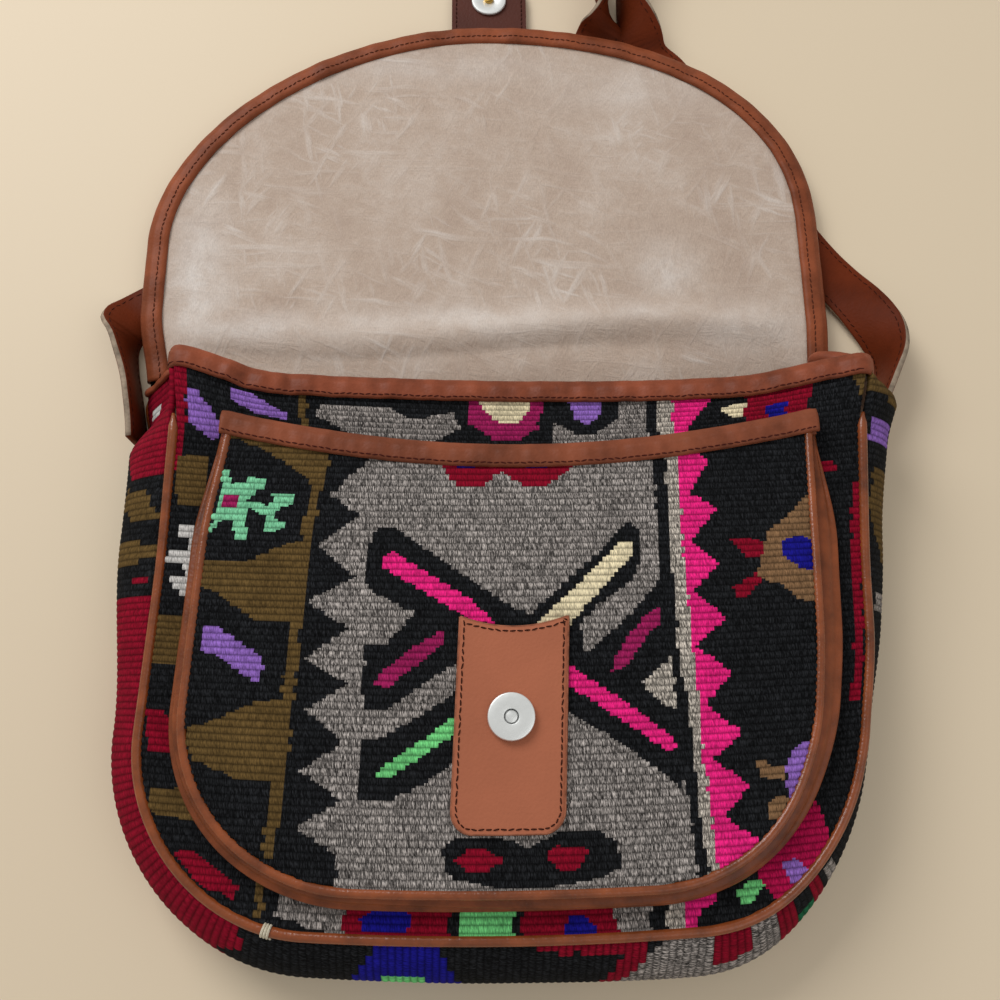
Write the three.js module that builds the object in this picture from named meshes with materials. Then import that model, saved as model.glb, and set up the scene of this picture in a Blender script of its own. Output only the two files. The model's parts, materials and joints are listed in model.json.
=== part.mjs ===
// A kilim messenger bag lying on its back with its flap laid open past the mouth.
// Millimetres, +Z up, +X to the right and +Y from the bag's bottom to the flap's tip.
// Places are first given with y = 0 at the bottom seam and x = 0 on the body's middle line.
import * as THREE from "three";

const { clamp, degToRad, lerp, smoothstep } = THREE.MathUtils;

// Sheet goods and the gap that is left where two pieces touch
const fitGap = 0.3;
const seamGap = 0.6;
const kilimThickness = 2.5;
const canvasThickness = 1;
const bindingLeather = 1.2;
const bindingDepth = 9;
const hemSpare = 3;

// Body: two U-shaped panels joined by a gusset
const bodyHalfWidth = 144;
const bodyHeight = 231;
const bodyCorner = 70;
const bodyDepth = 40;
const bottomCrown = 9;
const bodyLean = 0.045;
const leanPivot = 133;
const pipingRadius = 2.1;

// How the front sags between its seams and at the mouth
const cornerRise = 8;
const fieldSag = 4;
const fieldSagReach = 70;
const mouthSag = 11;
const mouthSagReach = 105;

// How far the gusset swells out, twice along each side and each half of the bottom, from left to right
const gussetSwell = [14, 21, 13, 14, 14.5, 15.5, 5, 11.5, 18];
const gussetLift = 12;
const foldReach = 39;
const leftFold = 1;
const rightFold = 11;
const mouthSeamReach = 26;
const mouthCornerGap = 3;
const liningInset = 3;

// How far the back's left mouth corner lies out past the front's
const cornerSpread = 28;
const cornerSpreadReach = 78;
const cornerSpreadFrom = 40;

// How far the front's mouth corners lean out past its sides
const cornerFlare = 5;
const cornerFlareReach = 36;

// Flap: the back panel carried on past the mouth, held up a little by the strap beneath it
const flapHalfWidth = 161;
const flapCentre = -11;
const flapTip = 432;
const leftShoulder = 308;
const rightShoulder = 318;
const leftFullness = 1.85;
const rightFullness = 2.2;
const flapSpread = 42;
const flapLift = 6.5;
const liftBefore = 34;
const liftAfter = 36;
const flapTipAngle = 80;
const flapBindingStart = 6;

// Outside pocket
const pocketHalfWidth = 120;
const pocketBottom = 17;
const pocketTop = 205;
const pocketCorner = 64;
const pocketSeamHeight = 52;
const pocketCrown = 1;
const pocketMouthSag = 7;
const pocketEndDrop = 2;
const pocketSagReach = 90;
const pocketMouthDip = 11;
const pocketCornerGap = 0.8;
const pocketPipingRadius = 1.9;
const pocketFlareSide = 11;
const pocketFlareBottom = 6;
const pocketFlareTop = 3;
const pocketFlareReach = 60;
const pocketGussetLeather = 1.2;
const pocketSeatGap = 0.8;
const pocketBaseHandle = 6;
const pocketTopHandle = 3;

// Leather patch on the pocket
const patchHalfWidth = 21.5;
const patchBottom = 38;
const patchTop = 118;
const patchCorner = 8;
const patchDip = 4;
const patchDipReach = 30;
const patchLeather = 1.5;

// Magnetic snap: the socket on the patch and the stud on the tongue
const snapSeat = 80;
const socketRadius = 9;
const socketHeight = 2.6;
const socketWall = 0.6;
const socketHole = 2.8;
const socketBoss = 2.3;
const socketFloor = 0.5;
const socketBossHeight = 1.5;
const washerRadius = 6;
const washerThickness = 0.5;
const studRadius = 9;
const studThickness = 1.4;
const studPinRadius = 2.4;
const studPinHeight = 2.8;

// Tongue on the flap's tip
const tongueHalfWidth = 19.5;
const tongueCentre = -8;
const tongueBase = 422;
const tongueEnd = 476;
const tongueLeather = 1.5;
const tongueSnap = 455;
const tongueDropStart = 1;
const tongueDropLength = 7;

// Strap: one strip of leather along a route
const strapWidth = 23;
const strapThickness = 3;
const strapSteps = 195;
// Route points: x, y, height of the middle, and tilt in degrees, 0 flat and 90 on edge
const strapRoute = [
  [-168.4, 205, 11.9, 90],
  [-169.4, 213, 11.9, 90],
  [-171.4, 224, 11.9, 90],
  [-173.8, 235, 11.9, 90],
  [-176.8, 246, 11.9, 86],
  [-179.2, 257, 11.7, 74],
  [-180.4, 264.5, 9, 42],
  [-176.5, 272.5, 3.4, 7],
  [-165, 280.5, 2.2, 1],
  [-149, 289, 2, 0],
  [-52, 352, 2, 0],
  [28, 402, 2, 0],
  [41, 414, 2, 0],
  [48, 430.5, 2.2, 2],
  [52.5, 438.5, 9.5, 52],
  [52.5, 448, 12.2, 86],
  [46, 476, 12.2, 90],
  [28, 510, 12.2, 90],
  [9, 552, 12.2, 90],
  [22.5, 584.5, 12.2, 90],
  [55, 598, 12.2, 90],
  [87.5, 584.5, 12.2, 90],
  [101, 552, 12.2, 90],
  [81, 510, 12.2, 90],
  [67.5, 484, 12.2, 90],
  [63, 466, 12.2, 86],
  [64.5, 447.5, 11.6, 72],
  [68.5, 436.5, 9.4, 50],
  [73.8, 424.5, 2.2, 3],
  [84, 412, 2, 0],
  [101, 385, 2, 0],
  [150, 304, 2, 0],
  [161, 289, 2.7, 4],
  [170, 275, 6.4, 18],
  [176.5, 261, 9.6, 43],
  [178.6, 249, 11.5, 68],
  [176.5, 238, 11.8, 84],
  [171.6, 227, 11.8, 86],
  [166.3, 216, 11.8, 86],
  [161.9, 200, 11.8, 86],
];

// Sizes that follow from those above
const liningLow = fitGap;
const liningHigh = fitGap + canvasThickness;
const seamInset = pipingRadius + fitGap;
const bindingReach = fitGap + bindingLeather;
const mouthInset = kilimThickness / 2 + liningHigh + bindingReach + mouthCornerGap;
const hem = bindingDepth + hemSpare;

// Mesh resolution
const panelColumns = 14;
const arcSteps = 6;
const sideSteps = 9;
const bottomSteps = 5;
const gussetRows = 10;
const flapRows = 9;
const spreadSteps = 4;
const roundSides = 8;
const latheSides = 24;

// A closed body between two grids of points that face each other
function slabBetween(outer, inner) {
  const rows = outer.length;
  const columns = outer[0].length;
  const index = [];
  const at = (side, r, c) => side * rows * columns + r * columns + c;
  const quad = (a, b, c, d) => index.push(a, b, c, a, c, d);
  for (let r = 0; r + 1 < rows; r++) {
    for (let c = 0; c + 1 < columns; c++) {
      quad(at(0, r, c), at(0, r, c + 1), at(0, r + 1, c + 1), at(0, r + 1, c));
      quad(at(1, r, c), at(1, r + 1, c), at(1, r + 1, c + 1), at(1, r, c + 1));
    }
    quad(at(0, r, 0), at(0, r + 1, 0), at(1, r + 1, 0), at(1, r, 0));
    const last = columns - 1;
    quad(at(0, r, last), at(1, r, last), at(1, r + 1, last), at(0, r + 1, last));
  }
  for (let c = 0; c + 1 < columns; c++) {
    quad(at(0, 0, c), at(1, 0, c), at(1, 0, c + 1), at(0, 0, c + 1));
    const last = rows - 1;
    quad(at(0, last, c), at(0, last, c + 1), at(1, last, c + 1), at(1, last, c));
  }
  return bodyOf([...outer.flat(), ...inner.flat()], index);
}

function bodyOf(points, index) {
  const geometry = new THREE.BufferGeometry().setFromPoints(points);
  geometry.setIndex(index);
  geometry.computeVertexNormals();
  return geometry;
}

// The normal at each point of a grid, on the side where columns turn into rows
function gridNormals(grid) {
  const lastRow = grid.length - 1;
  const lastColumn = grid[0].length - 1;
  return grid.map((row, r) =>
    row.map((_, c) => {
      const along = new THREE.Vector3().subVectors(
        row[Math.min(c + 1, lastColumn)],
        row[Math.max(c - 1, 0)],
      );
      const across = new THREE.Vector3().subVectors(
        grid[Math.min(r + 1, lastRow)][c],
        grid[Math.max(r - 1, 0)][c],
      );
      return along.cross(across).normalize();
    }),
  );
}

// A sheet that fills the space from low to high along the normals of a grid
function sheetOn(grid, low, high) {
  const normals = gridNormals(grid);
  const shifted = (distance) =>
    grid.map((row, r) => row.map((p, c) => p.clone().addScaledVector(normals[r][c], distance)));
  return slabBetween(shifted(high), shifted(low));
}

// A section, listed counterclockwise in (normal, side), carried along a path
function sweep(path, normals, section) {
  const points = [];
  path.forEach((p, i) => {
    const ahead = path[Math.min(i + 1, path.length - 1)];
    const behind = path[Math.max(i - 1, 0)];
    const tangent = new THREE.Vector3().subVectors(ahead, behind).normalize();
    const side = new THREE.Vector3().crossVectors(tangent, normals[i]).normalize();
    const normal = new THREE.Vector3().crossVectors(side, tangent);
    for (const [n, b] of section) {
      points.push(p.clone().addScaledVector(normal, n).addScaledVector(side, b));
    }
  });
  const count = section.length;
  const index = [];
  for (let i = 0; i + 1 < path.length; i++) {
    for (let j = 0; j < count; j++) {
      const next = (j + 1) % count;
      const a = i * count + j;
      const b = i * count + next;
      index.push(a, b, b + count, a, b + count, a + count);
    }
  }
  const outline = section.map(([n, b]) => new THREE.Vector2(n, b));
  const end = (path.length - 1) * count;
  for (const [a, b, c] of THREE.ShapeUtils.triangulateShape(outline, [])) {
    index.push(c, b, a, a + end, b + end, c + end);
  }
  return bodyOf(points, index);
}

function roundSection(radius) {
  const section = [];
  for (let i = 0; i < roundSides; i++) {
    const angle = (2 * Math.PI * i) / roundSides;
    section.push([radius * Math.cos(angle), radius * Math.sin(angle)]);
  }
  return section;
}

// Leather folded over an edge whose layers fill low to high
function foldedSection(low, high) {
  const top = high + fitGap;
  const under = low - fitGap;
  return [
    [top + bindingLeather, -bindingDepth],
    [top + bindingLeather, bindingReach],
    [under - bindingLeather, bindingReach],
    [under - bindingLeather, -bindingDepth],
    [under, -bindingDepth],
    [under, fitGap],
    [top, fitGap],
    [top, -bindingDepth],
  ];
}

// The lean of the whole body, the round of its bottom edge and the spread of its mouth corners
function settle(x, y, z) {
  const low = clamp(1 - y / bodyHeight, 0, 1);
  const crown = bottomCrown * (x / bodyHalfWidth) ** 2 * low;
  const toBack = smoothstep(bodyDepth - z, 0, bodyDepth);
  const toMouth = smoothstep(y, bodyHeight - cornerSpreadReach, bodyHeight);
  const toLeft = smoothstep(-x, cornerSpreadFrom, bodyHalfWidth);
  const spread = cornerSpread * toBack * toMouth * toLeft;
  const toCorner = smoothstep(y, bodyHeight - cornerFlareReach, bodyHeight);
  const flare = cornerFlare * (1 - toBack) * toCorner * (x / bodyHalfWidth) ** 3;
  return new THREE.Vector3(x + bodyLean * (y - leanPivot) - spread + flare, y + crown, z);
}

// Rows of a U-shaped panel, from its bottom edge through its corners to its top
function panelRows(half, corner, bottom, top, steps) {
  const rows = [];
  for (let i = 0; i < arcSteps; i++) {
    const angle = (Math.PI / 2) * (i / arcSteps);
    const y = bottom + corner * (1 - Math.cos(angle));
    rows.push({ y, half: half - corner + corner * Math.sin(angle) });
  }
  for (let i = 0; i <= steps; i++) {
    rows.push({ y: lerp(bottom + corner, top - hem, i / steps), half });
  }
  rows.push({ y: top, half });
  return rows;
}

function gridOf(rows, columns, pointAt) {
  return rows.map((row) => {
    const points = [];
    for (let c = 0; c <= columns; c++) {
      points.push(pointAt(row.half * ((2 * c) / columns - 1), row.y));
    }
    return points;
  });
}

// The U-shaped seam of a panel from its left top round to its right top, with the way out.
// Station runs 0 left top, 1 left corner, 2 bottom middle, 3 right corner, 4 right top.
function rim(half, corner, bottom, top) {
  const left = [];
  const addSide = (y) => {
    const station = (top - y) / (top - bottom - corner);
    left.push({ x: -half, y, outX: -1, outY: 0, station });
  };
  addSide(top);
  for (let i = 0; i < sideSteps; i++) addSide(lerp(top - hem, bottom + corner, i / sideSteps));
  for (let i = 0; i < arcSteps; i++) {
    const angle = (Math.PI / 2) * (i / arcSteps);
    const outX = -Math.cos(angle);
    const outY = -Math.sin(angle);
    const x = corner - half + corner * outX;
    left.push({ x, y: bottom + corner + corner * outY, outX, outY, station: 1 + i / arcSteps / 2 });
  }
  for (let i = 0; i <= bottomSteps; i++) {
    const share = i / bottomSteps;
    const x = lerp(corner - half, 0, share);
    left.push({ x, y: bottom, outX: 0, outY: -1, station: 1.5 + share / 2 });
  }
  const right = left
    .slice(0, -1)
    .reverse()
    .map((p) => ({ ...p, x: -p.x, outX: -p.outX, station: 4 - p.station }));
  return [...left, ...right];
}

const stepOut = (place, distance, z) =>
  settle(place.x + place.outX * distance, place.y + place.outY * distance, z);

// Height of the middle of the front panel's kilim
function frontHeight(x, y) {
  const edge = Math.min((x / bodyHalfWidth) ** 2, 1);
  const mouth = smoothstep(y, bodyHeight - mouthSagReach, bodyHeight - hem);
  const field = fieldSag * Math.sin((Math.PI / 2) * clamp(y / fieldSagReach, 0, 1));
  return bodyDepth + cornerRise * mouth * edge - (field + mouthSag * mouth) * (1 - edge);
}

// How far the back is lifted off the floor near the mouth and under the flap
function backLift(y) {
  return flapLift * smoothstep(y, bodyHeight - liftBefore, bodyHeight + liftAfter);
}

const backSeamHeight = (y) => pipingRadius + fitGap + backLift(y);

// Share of the way from the piped seam to the plain seam at the mouth
const mouthSeam = (y) => smoothstep(y, bodyHeight - mouthSeamReach, bodyHeight - hem);

function pocketMouth(y) {
  return smoothstep(y, pocketTop - pocketSagReach, pocketTop - hem);
}

// Height of the middle of the pocket's kilim
function pocketHeight(x, y) {
  const edge = Math.min((x / pocketHalfWidth) ** 2, 1);
  const along = clamp((y - pocketBottom) / (pocketTop - pocketBottom), 0, 1);
  const crown = pocketCrown * (1 - edge) * Math.sin(Math.PI * along);
  return pocketSeamHeight + crown - pocketMouth(y) * lerp(pocketMouthSag, pocketEndDrop, edge);
}

// Point of a cubic curve in the plane of (out, height)
function cubic(points, s) {
  const weights = [(1 - s) ** 3, 3 * s * (1 - s) ** 2, 3 * s * s * (1 - s), s ** 3];
  const out = points.reduce((sum, p, i) => sum + p.x * weights[i], 0);
  const height = points.reduce((sum, p, i) => sum + p.y * weights[i], 0);
  return new THREE.Vector2(out, height);
}

// Where a sheet that leaves a piped seam along a direction starts, clear of the piping.
// The side is 1 where the sheet's outer face lies to the right of that direction, else -1.
function seamStart(height, radius, thickness, direction, side) {
  const along = direction.clone().normalize();
  const outward = new THREE.Vector2(along.y, -along.x).multiplyScalar(side);
  return new THREE.Vector2(0, height)
    .addScaledVector(along, radius + seamGap)
    .addScaledVector(outward, -thickness / 2);
}

function swellAt(station) {
  const place = 2 * station;
  const first = Math.min(Math.floor(place), gussetSwell.length - 2);
  return lerp(gussetSwell[first], gussetSwell[first + 1], smoothstep(place - first, 0, 1));
}

// Inner face of the gusset's kilim across the seam, s = 0 at the back and 1 at the front
function gussetPoint(place, s) {
  const fold = smoothstep(place.y, bodyHeight - foldReach, bodyHeight - hem);
  const swell = swellAt(place.station) * (1 - fold);
  const tuck = fold * (place.x < 0 ? leftFold : rightFold);
  const leaveBack = new THREE.Vector2((4 / 3) * swell, gussetLift);
  const leaveFront = new THREE.Vector2((4 / 3) * swell, -gussetLift);
  const back = seamStart(backSeamHeight(place.y), pipingRadius, kilimThickness, leaveBack, 1);
  const frontSeam = frontHeight(place.x, place.y);
  const front = seamStart(frontSeam, pipingRadius, kilimThickness, leaveFront, -1);
  const curve = [back, back.clone().add(leaveBack), front.clone().add(leaveFront), front];
  const point = cubic(curve, s);
  return stepOut(place, point.x - tuck * Math.sin(Math.PI * s) ** 2, point.y);
}

const bodyRim = rim(bodyHalfWidth, bodyCorner, 0, bodyHeight);
const pocketRim = rim(pocketHalfWidth, pocketCorner, pocketBottom, pocketTop);

function gussetGrid() {
  const rows = [];
  for (let r = 0; r <= gussetRows; r++) {
    rows.push(bodyRim.map((place) => gussetPoint(place, r / gussetRows)));
  }
  return rows;
}

// Inner face of the front panel's kilim, drawn in a little further for the lining
function frontGrid(extraInset) {
  const inset = seamInset + extraInset;
  const rows = panelRows(bodyHalfWidth - inset, bodyCorner - inset, inset, bodyHeight, sideSteps);
  for (const row of rows) row.half -= (mouthInset - seamInset) * mouthSeam(row.y);
  return gridOf(rows, panelColumns, (x, y) =>
    settle(x, y, frontHeight(x, y) - kilimThickness / 2),
  );
}

function pocketGrid() {
  const inset = pocketPipingRadius + fitGap;
  const half = pocketHalfWidth - inset;
  const rows = panelRows(half, pocketCorner - inset, pocketBottom + inset, pocketTop, sideSteps);
  for (const row of rows) row.half -= pocketCornerGap * pocketMouth(row.y);
  return gridOf(rows, panelColumns, (x, y) => {
    const dip = pocketMouthDip * pocketMouth(y) * (1 - (x / half) ** 2);
    return settle(x, y - dip, pocketHeight(x, y) - kilimThickness / 2);
  });
}

function pocketGussetGrid() {
  const rows = [];
  const steps = 4;
  for (let r = 0; r <= steps; r++) {
    rows.push(
      pocketRim.map((place) => {
        const fullFlare = lerp(pocketFlareBottom, pocketFlareSide, place.outX ** 2);
        const open = smoothstep(pocketTop - place.y, 0, pocketFlareReach);
        const flare = lerp(pocketFlareTop, fullFlare, open);
        const foot = {
          x: place.x + place.outX * flare,
          y: place.y + place.outY * flare,
        };
        const seat = frontHeight(foot.x, foot.y) + kilimThickness / 2 + pocketSeatGap;
        const leaveTop = new THREE.Vector2(flare, -pocketTopHandle);
        const top = seamStart(
          pocketHeight(place.x, place.y),
          pocketPipingRadius,
          pocketGussetLeather,
          leaveTop,
          -1,
        );
        const base = new THREE.Vector2(flare, seat);
        const aboveBase = new THREE.Vector2(flare, seat + pocketBaseHandle);
        const point = cubic([base, aboveBase, top.clone().add(leaveTop), top], r / steps);
        return stepOut(place, point.x, point.y);
      }),
    );
  }
  return rows;
}

// Half of the flap's width past a shoulder, as a full curve that closes at the tip
function shoulderPoint(shoulder, fullness, angle) {
  return {
    y: shoulder + (flapTip - shoulder) * Math.sin(angle) ** (2 / fullness),
    half: flapHalfWidth * Math.cos(angle) ** (2 / fullness),
  };
}

// Ends of the flap's rows, which slant where its two shoulders differ
function flapEnds(mouthLeft, mouthRight, edge) {
  const ends = [];
  for (let i = 1; i <= spreadSteps; i++) {
    const y = bodyHeight + (flapSpread * i) / spreadSteps;
    const spread = smoothstep(y, bodyHeight, bodyHeight + flapSpread);
    const left = lerp(mouthLeft, flapCentre - flapHalfWidth + edge, spread);
    const right = lerp(mouthRight, flapCentre + flapHalfWidth - edge, spread);
    ends.push([new THREE.Vector2(left, y), new THREE.Vector2(right, y)]);
  }
  for (let i = 0; i <= flapRows; i++) {
    const angle = degToRad((flapTipAngle * i) / flapRows);
    const left = shoulderPoint(leftShoulder, leftFullness, angle);
    const right = shoulderPoint(rightShoulder, rightFullness, angle);
    const draw = 1 - edge / flapHalfWidth;
    const drawTip = edge * Math.sin(angle);
    ends.push([
      new THREE.Vector2(flapCentre - left.half * draw, left.y - drawTip),
      new THREE.Vector2(flapCentre + right.half * draw, right.y - drawTip),
    ]);
  }
  return ends;
}

// Face between the back's kilim, below, and its lining, above
function backGrid(extraInset) {
  const inset = seamInset + extraInset;
  const rows = panelRows(bodyHalfWidth - inset, bodyCorner - inset, inset, bodyHeight, sideSteps);
  const body = gridOf(rows, panelColumns, (x, y) => settle(x, y, kilimThickness + backLift(y)));
  const mouth = body[body.length - 1];
  const ends = flapEnds(mouth[0].x, mouth[panelColumns].x, bindingReach + extraInset);
  const flap = ends.map(([left, right]) => {
    const points = [];
    for (let c = 0; c <= panelColumns; c++) {
      const { x, y } = left.clone().lerp(right, c / panelColumns);
      points.push(new THREE.Vector3(x, y, kilimThickness + backLift(y)));
    }
    return points;
  });
  return [...body, ...flap];
}

// The flap's edge from its right end at the mouth, over the tip, to its left end
function flapEdge(grid) {
  const normals = gridNormals(grid);
  const path = [];
  const up = [];
  const last = grid.length - 1;
  const add = (r, c) => {
    path.push(grid[r][c]);
    up.push(normals[r][c]);
  };
  const first = grid.findIndex((row) => row[0].y > bodyHeight + flapBindingStart);
  for (let r = first; r < last; r++) add(r, panelColumns);
  for (let c = panelColumns; c >= 0; c--) add(last, c);
  for (let r = last - 1; r >= first; r--) add(r, 0);
  return { path, up };
}

function edgeOf(grid, pick) {
  const normals = gridNormals(grid);
  return { path: pick(grid), up: pick(normals) };
}

const topRow = (grid) => [...grid[grid.length - 1]].reverse();
const firstColumn = (grid) => grid.map((row) => row[0]).reverse();
const lastColumn = (grid) => grid.map((row) => row[row.length - 1]);

function binding(edge, low, high) {
  return sweep(edge.path, edge.up, foldedSection(low, high));
}

function piping(places, heightAt, radius) {
  const path = places.map((place) => settle(place.x, place.y, heightAt(place)));
  const up = path.map(() => new THREE.Vector3(0, 0, 1));
  return sweep(path, up, roundSection(radius));
}

function patchGrid() {
  const rows = panelRows(patchHalfWidth, patchCorner, patchBottom, patchTop, sideSteps);
  const outer = kilimThickness / 2 + fitGap;
  return gridOf(rows, panelColumns / 2, (x, y) => {
    const dip =
      patchDip * smoothstep(y, patchTop - patchDipReach, patchTop) * (1 - (x / patchHalfWidth) ** 2);
    return settle(x, y - dip, pocketHeight(x, y - dip) + outer);
  });
}

// A turned piece standing on its axis at a place
function turned(profile, centre) {
  const outline = profile.map(([radius, height]) => new THREE.Vector2(radius, height));
  const geometry = new THREE.LatheGeometry(outline, latheSides);
  geometry.rotateX(Math.PI / 2);
  return geometry.translate(centre.x, centre.y, centre.z);
}

function disc(radius, thickness) {
  return [
    [0, 0],
    [radius, 0],
    [radius, thickness],
    [0, thickness],
  ];
}

function ring(hole, radius, low, high) {
  return [
    [hole, low],
    [radius, low],
    [radius, high],
    [hole, high],
    [hole, low],
  ];
}

// One layer of the tongue, its lower face at one height under the flap and another past its edge
function tongueLayer(underFlap, pastFlap) {
  const steps = 10;
  const endSteps = 5;
  const straight = tongueEnd - tongueHalfWidth;
  const rows = [];
  for (let i = 0; i <= steps; i++) {
    rows.push({ y: lerp(tongueBase, straight, i / steps), half: tongueHalfWidth });
  }
  for (let i = 1; i <= endSteps; i++) {
    const angle = degToRad((flapTipAngle * i) / endSteps);
    const y = straight + tongueHalfWidth * Math.sin(angle);
    rows.push({ y, half: tongueHalfWidth * Math.cos(angle) });
  }
  const dropFrom = flapTip + tongueDropStart;
  const grid = gridOf(rows, panelColumns / 2, (x, y) => {
    const drop = smoothstep(y, dropFrom, dropFrom + tongueDropLength);
    return new THREE.Vector3(tongueCentre + x, y, lerp(underFlap, pastFlap, drop));
  });
  const above = grid.map((row) => row.map((p) => p.clone().setZ(p.z + tongueLeather)));
  return slabBetween(above, grid);
}

// The strap's middle line and the way its outer face looks
function strapLine() {
  const curve = new THREE.CatmullRomCurve3(
    strapRoute.map(([x, y, z]) => new THREE.Vector3(x, y, z)),
    false,
    "centripetal",
  );
  const spans = strapRoute.length - 1;
  const path = [];
  const faces = [];
  const up = new THREE.Vector3(0, 0, 1);
  for (let i = 0; i <= strapSteps; i++) {
    const share = i / strapSteps;
    const span = Math.min(Math.floor(share * spans), spans - 1);
    const within = smoothstep(share * spans - span, 0, 1);
    const tilt = degToRad(lerp(strapRoute[span][3], strapRoute[span + 1][3], within));
    const tangent = curve.getTangent(share);
    const level = new THREE.Vector3().crossVectors(up, tangent).normalize();
    const rising = new THREE.Vector3().crossVectors(tangent, level);
    const across = level.multiplyScalar(Math.cos(tilt)).addScaledVector(rising, Math.sin(tilt));
    const restHeight =
      fitGap + (strapWidth / 2) * Math.sin(tilt) + (strapThickness / 2) * Math.cos(tilt);
    const point = curve.getPoint(share);
    path.push(point.setZ(Math.max(point.z, restHeight)));
    faces.push(new THREE.Vector3().crossVectors(across, tangent).normalize());
  }
  return { path, faces };
}

const finishes = {
  kilim: { color: 0x2a2622, roughness: 0.95, metalness: 0 },
  greyKilim: { color: 0x8a7f78, roughness: 0.95, metalness: 0 },
  canvas: { color: 0xbfa795, roughness: 0.9, metalness: 0 },
  tanLeather: { color: 0x8c4b32, roughness: 0.5, metalness: 0 },
  darkLeather: { color: 0x5a2616, roughness: 0.45, metalness: 0 },
  steel: { color: 0xc4c4c2, roughness: 0.3, metalness: 1 },
  magnet: { color: 0x3a3a3c, roughness: 0.5, metalness: 0.6 },
  brass: { color: 0xb5924c, roughness: 0.35, metalness: 1 },
};

const bag = new THREE.Group();

function add(name, geometry, finish) {
  const mesh = new THREE.Mesh(geometry, new THREE.MeshStandardMaterial(finishes[finish]));
  mesh.name = name;
  bag.add(mesh);
}

// Back and flap
const backFace = backGrid(0);
add("back_flap_panel", sheetOn(backFace, -kilimThickness, 0), "kilim");
add("back_flap_lining", sheetOn(backGrid(liningInset), liningLow, liningHigh), "canvas");
add("flap_binding", binding(flapEdge(backFace), -kilimThickness, liningHigh), "tanLeather");

// Front
const frontFace = frontGrid(0);
add("front_panel", sheetOn(frontFace, 0, kilimThickness), "greyKilim");
add("front_lining", sheetOn(frontGrid(liningInset), -liningHigh, -liningLow), "canvas");
const frontEdge = edgeOf(frontFace, topRow);
add("front_binding", binding(frontEdge, -liningHigh, kilimThickness), "tanLeather");

// Gusset
const gussetFace = gussetGrid();
add("gusset", sheetOn(gussetFace, 0, kilimThickness), "kilim");
const gussetLiningFace = gussetFace.slice(1, -1);
add("gusset_lining", sheetOn(gussetLiningFace, -liningHigh, -liningLow), "canvas");
const leftEnd = edgeOf(gussetFace, firstColumn);
const rightEnd = edgeOf(gussetFace, lastColumn);
add("gusset_binding_left", binding(leftEnd, -liningHigh, kilimThickness), "tanLeather");
add("gusset_binding_right", binding(rightEnd, -liningHigh, kilimThickness), "tanLeather");

// Piping in the two seams of the body
add("front_piping", piping(bodyRim, ({ x, y }) => frontHeight(x, y), pipingRadius), "tanLeather");
add("back_piping", piping(bodyRim, ({ y }) => backSeamHeight(y), pipingRadius), "tanLeather");

// Outside pocket
const pocketFace = pocketGrid();
add("pocket_panel", sheetOn(pocketFace, 0, kilimThickness), "greyKilim");
add("pocket_gusset", sheetOn(pocketGussetGrid(), 0, pocketGussetLeather), "tanLeather");
const pocketSeam = ({ x, y }) => pocketHeight(x, y);
add("pocket_piping", piping(pocketRim, pocketSeam, pocketPipingRadius), "tanLeather");
const pocketEdge = edgeOf(pocketFace, topRow);
add("pocket_binding", binding(pocketEdge, 0, kilimThickness), "tanLeather");

// Patch and the socket of the snap
add("snap_patch", sheetOn(patchGrid(), 0, patchLeather), "tanLeather");
const pocketOuter = pocketHeight(0, snapSeat) + kilimThickness / 2;
const socketBase = settle(0, snapSeat, pocketOuter + fitGap + patchLeather + fitGap);
const socketCase = [
  [socketHole, socketHeight - socketWall],
  [socketRadius - socketWall, socketHeight - socketWall],
  [socketRadius - socketWall, 0],
  [socketRadius, 0],
  [socketRadius, socketHeight],
  [socketHole, socketHeight],
  [socketHole, socketHeight - socketWall],
];
const socketInside = socketRadius - socketWall - fitGap;
const socketPlate = [
  [0, 0],
  [socketInside, 0],
  [socketInside, socketFloor],
  [socketBoss, socketFloor],
  [socketBoss, socketBossHeight],
  [0, socketBossHeight],
];
const magnetLow = socketFloor + fitGap;
const magnetHigh = socketHeight - socketWall - fitGap;
add("socket_case", turned(socketCase, socketBase), "steel");
add("socket_plate", turned(socketPlate, socketBase), "steel");
add(
  "socket_magnet",
  turned(ring(socketBoss + fitGap, socketInside, magnetLow, magnetHigh), socketBase),
  "magnet",
);
const pocketInner = pocketHeight(0, snapSeat) - kilimThickness / 2;
const socketWasherSeat = settle(0, snapSeat, pocketInner - fitGap - washerThickness);
add("socket_washer", turned(disc(washerRadius, washerThickness), socketWasherSeat), "steel");

// Tongue and the stud of the snap
const flapFace = kilimThickness + flapLift;
const tongueInnerSeat = flapFace - kilimThickness - bindingReach - fitGap - tongueLeather;
const tongueOuterSeat = tongueInnerSeat - fitGap - tongueLeather;
const tongueInnerRest = fitGap + tongueLeather + fitGap + washerThickness + fitGap;
add("tongue_outer", tongueLayer(tongueOuterSeat, fitGap), "tanLeather");
add("tongue_inner", tongueLayer(tongueInnerSeat, tongueInnerRest), "tanLeather");
const studSeat = new THREE.Vector3(tongueCentre, tongueSnap, 0);
const studWasherSeat = studSeat.clone().setZ(fitGap + tongueLeather + fitGap);
const studPlateSeat = studSeat.clone().setZ(tongueInnerRest + tongueLeather + fitGap);
add("stud_washer", turned(disc(washerRadius, washerThickness), studWasherSeat), "steel");
const studRing = ring(studPinRadius + fitGap, studRadius, 0, studThickness);
add("stud_plate", turned(studRing, studPlateSeat), "steel");
add("stud_pin", turned(disc(studPinRadius, studPinHeight), studPlateSeat), "brass");

// Strap
const strap = strapLine();
const strapSection = [
  [strapThickness / 2, -strapWidth / 2],
  [strapThickness / 2, strapWidth / 2],
  [-strapThickness / 2, strapWidth / 2],
  [-strapThickness / 2, -strapWidth / 2],
];
add("strap", sweep(strap.path, strap.faces, strapSection), "darkLeather");

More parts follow.
